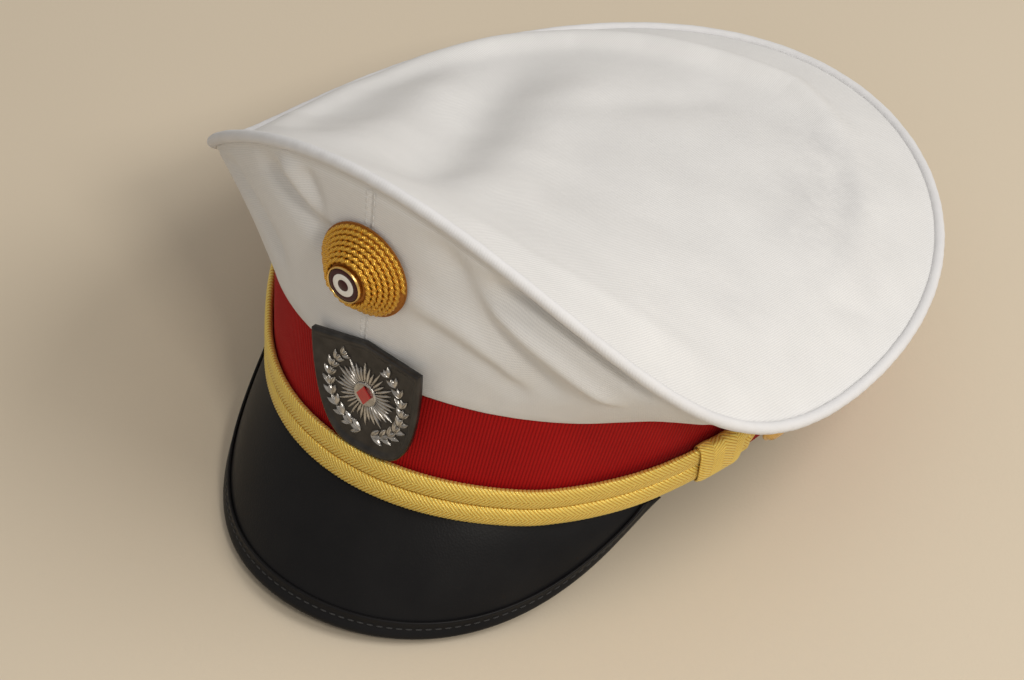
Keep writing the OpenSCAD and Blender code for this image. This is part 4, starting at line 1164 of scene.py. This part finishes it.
RAYS = 36
rays = np.arange(RAYS)
ray_angle = rays * 2 * np.pi / RAYS
ray_long = np.array([8.2, 6.0, 7.0])[rays % 3]
ray_feet = MID + 3.7 * np.stack([np.cos(ray_angle), np.sin(ray_angle)], -1)
relief("badge_rays", leaf_shapes(ray_feet, ray_angle, ray_long, 1.15, 0.9, 0.0), "badge_relief")
leaves = []
for side in (-1, 1):
    for n in range(10):
        spot = math.radians(-82 + 14.5 * n)
        stem = MID + np.array([side * 14.2 * math.cos(spot), 14.6 * math.sin(spot) - 0.4])
        ahead = math.atan2(math.cos(spot), -side * math.sin(spot))
        for lean in (-0.62, 0.62, 0.0):
            leaves.append((*stem, ahead + lean, (4.8 if lean else 4.2) - 0.12 * n, 1.9 - 0.05 * n))
leaves = np.array(leaves)
relief("badge_laurel", leaf_shapes(leaves[:, :2], leaves[:, 2], leaves[:, 3], leaves[:, 4], 0.85))
HUB = [(4.3, 0.0), (4.3, 0.55), (4.1, 0.8), (3.8, 0.85), (3.5, 0.7), (3.3, 0.62), (2.0, 0.85), (0.3, 0.95)]
piece("badge_hub", spun(HUB, 72, on_badge((*MID, FLOOR)), badge_axes, poles=(-1,), ripple=(0.14, 22, 3.9)),
      silver, "silver_metal")
finish_node(enamel("red_enamel", 0.15, (0.36, 0.005, 0.005), (0.50, 0.012, 0.010), 0.6), "badge_enamel")


# ---- Sweatband, pad and lining ----
# Inside, a leather sweatband is sewn to the lower edge, over a thin pad at the forehead. Above it is
# a satin lining with a clear sweat shield in the middle.

sweat_leather = leather("sweat_leather", 900.0, 0.5, 0.08, 25.0, (0.22, 0.11, 0.05),
                        (0.40, 0.23, 0.12), 0.2, 0.38)
t = round_angles(360)[:, None]
BAND_IN = -4.4
SWEATBAND_TOP = 35.6
band_share = np.r_[0, 0.006, 0.022, np.linspace(0.06, 0.96, 12), 0.99, 1, 1, 0.99, 0.66, 0.33,
                   0.022, 0.006, 0]
band_out = BAND_IN - np.r_[0.4, 0.1, np.zeros(13), 0.05, 0.35, 0.7, 0.95, 1, 1, 1, 0.9, 0.6]
band_z = band_foot(t) + 0.4 + (SWEATBAND_TOP - band_foot(t)) * band_share
ripples = 0.06 * np.sin(t * 13) * np.sin(np.pi * band_share)
leather_band = oval(band_z, band_out + ripples, t)
band_cut = chart(np.linspace(0, 560, 361), np.r_[np.linspace(0, 74, band_share.size), 75])
piece("leather_sweatband", surface(laid(leather_band), band_cut, ring=True, tube=True),
      sweat_leather, "sweat_leather", "sweatband")


def along_sweatband(t):
    return oval(band_foot(t) + 3, -5.42, t)


stitch_t = round_angles(180)
middles = along_sweatband(stitch_t)
ways = unit(along_sweatband(stitch_t + 0.01) - middles)
inward = unit(middles * [-1, -1, 0])
ups = unit(inward - ways * (inward * ways).sum(-1, keepdims=True))
piece("sweatband_stitches", stitches(middles, ways, ups, length=2.2, thick=0.5), thread, "white_cotton")

satin = Finish("lining_satin", 0.42, sheen_weight=0.3)
both, along_cut, across_cut = satin.cut()
threads = (along_cut + across_cut * 0.2).wave(0.3)
# The threads' wave darkens the colour in their grooves as well as making their bumps: painted shade, over a
# random tone.
satin.feed({
    "Base Color": satin.mix(threads * 0.3 + satin.noise(0.04, 4.0, both) * 0.7,
                            rgb(0.50, 0.46, 0.38), rgb(0.66, 0.62, 0.54)),
    "Normal": satin.raised(threads, 0.02, satin.raised(satin.noise(0.08, 3.0, both), 0.5))})
LINING_FOOT = 36.3
edge_line = oval(LINING_FOOT, -4.7, t)
share = np.linspace(0.08, 1, 40)[None, :]
up_by = (1 - share ** 3) * (24 + 18 * share * np.cos(t))
under = np.stack([edge_line[..., 0] * share, edge_line[..., 1] * share, LINING_FOOT + up_by + 0.06], -1)
lining_points = np.concatenate([under + [0, 0, 0.5], under[:, ::-1]], 1)
lining_cut = chart(np.linspace(0, 500, 361), np.r_[np.linspace(0, 90, 40), np.linspace(90, 0, 40), 0])
piece("satin_lining", surface(laid(lining_points), lining_cut, ring=True, tube=True),
      satin, "lining_satin", "lining")

clear_sheet = Finish("clear_sheet", 0.12)
clear_sheet.feed({
    "Base Color": clear_sheet.mix(clear_sheet.noise(40.0), rgb(0.70, 0.69, 0.62), rgb(0.80, 0.80, 0.75)),
    "Alpha": clear_sheet.noise(30.0) * 0.08 + 0.28,
    "Normal": clear_sheet.raised(clear_sheet.noise(60.0), 0.4)})
finish_node(clear_sheet, "sweat_shield")

foam = clouded("dark_foam", 0.95, 900.0, (0.10, 0.10, 0.11), (0.20, 0.20, 0.22), 2600.0, 0.15)
u = np.linspace(-1, 1, 60)[:, None]
w = round_angles(40)[None, :]
ends_in = (1 - u ** 8) ** 0.5
pad_z = 11.95 + 6.95 * power(np.sin(w), 0.7) * ends_in
pad_crown = 0.42 * np.cos(w) * (1 - np.abs(np.sin(w)) ** 6) * ends_in
pad_points = oval(pad_z, BAND_IN + 0.75 + pad_crown, np.radians(35.8 * u))
pad_mesh = surface(laid(pad_points), chart(u[:, 0] * 65, np.linspace(0, 40, 41)), tube=True, ends=True)
pad = piece("forehead_cushion", pad_mesh, foam, "pad_foam", "forehead_pad")
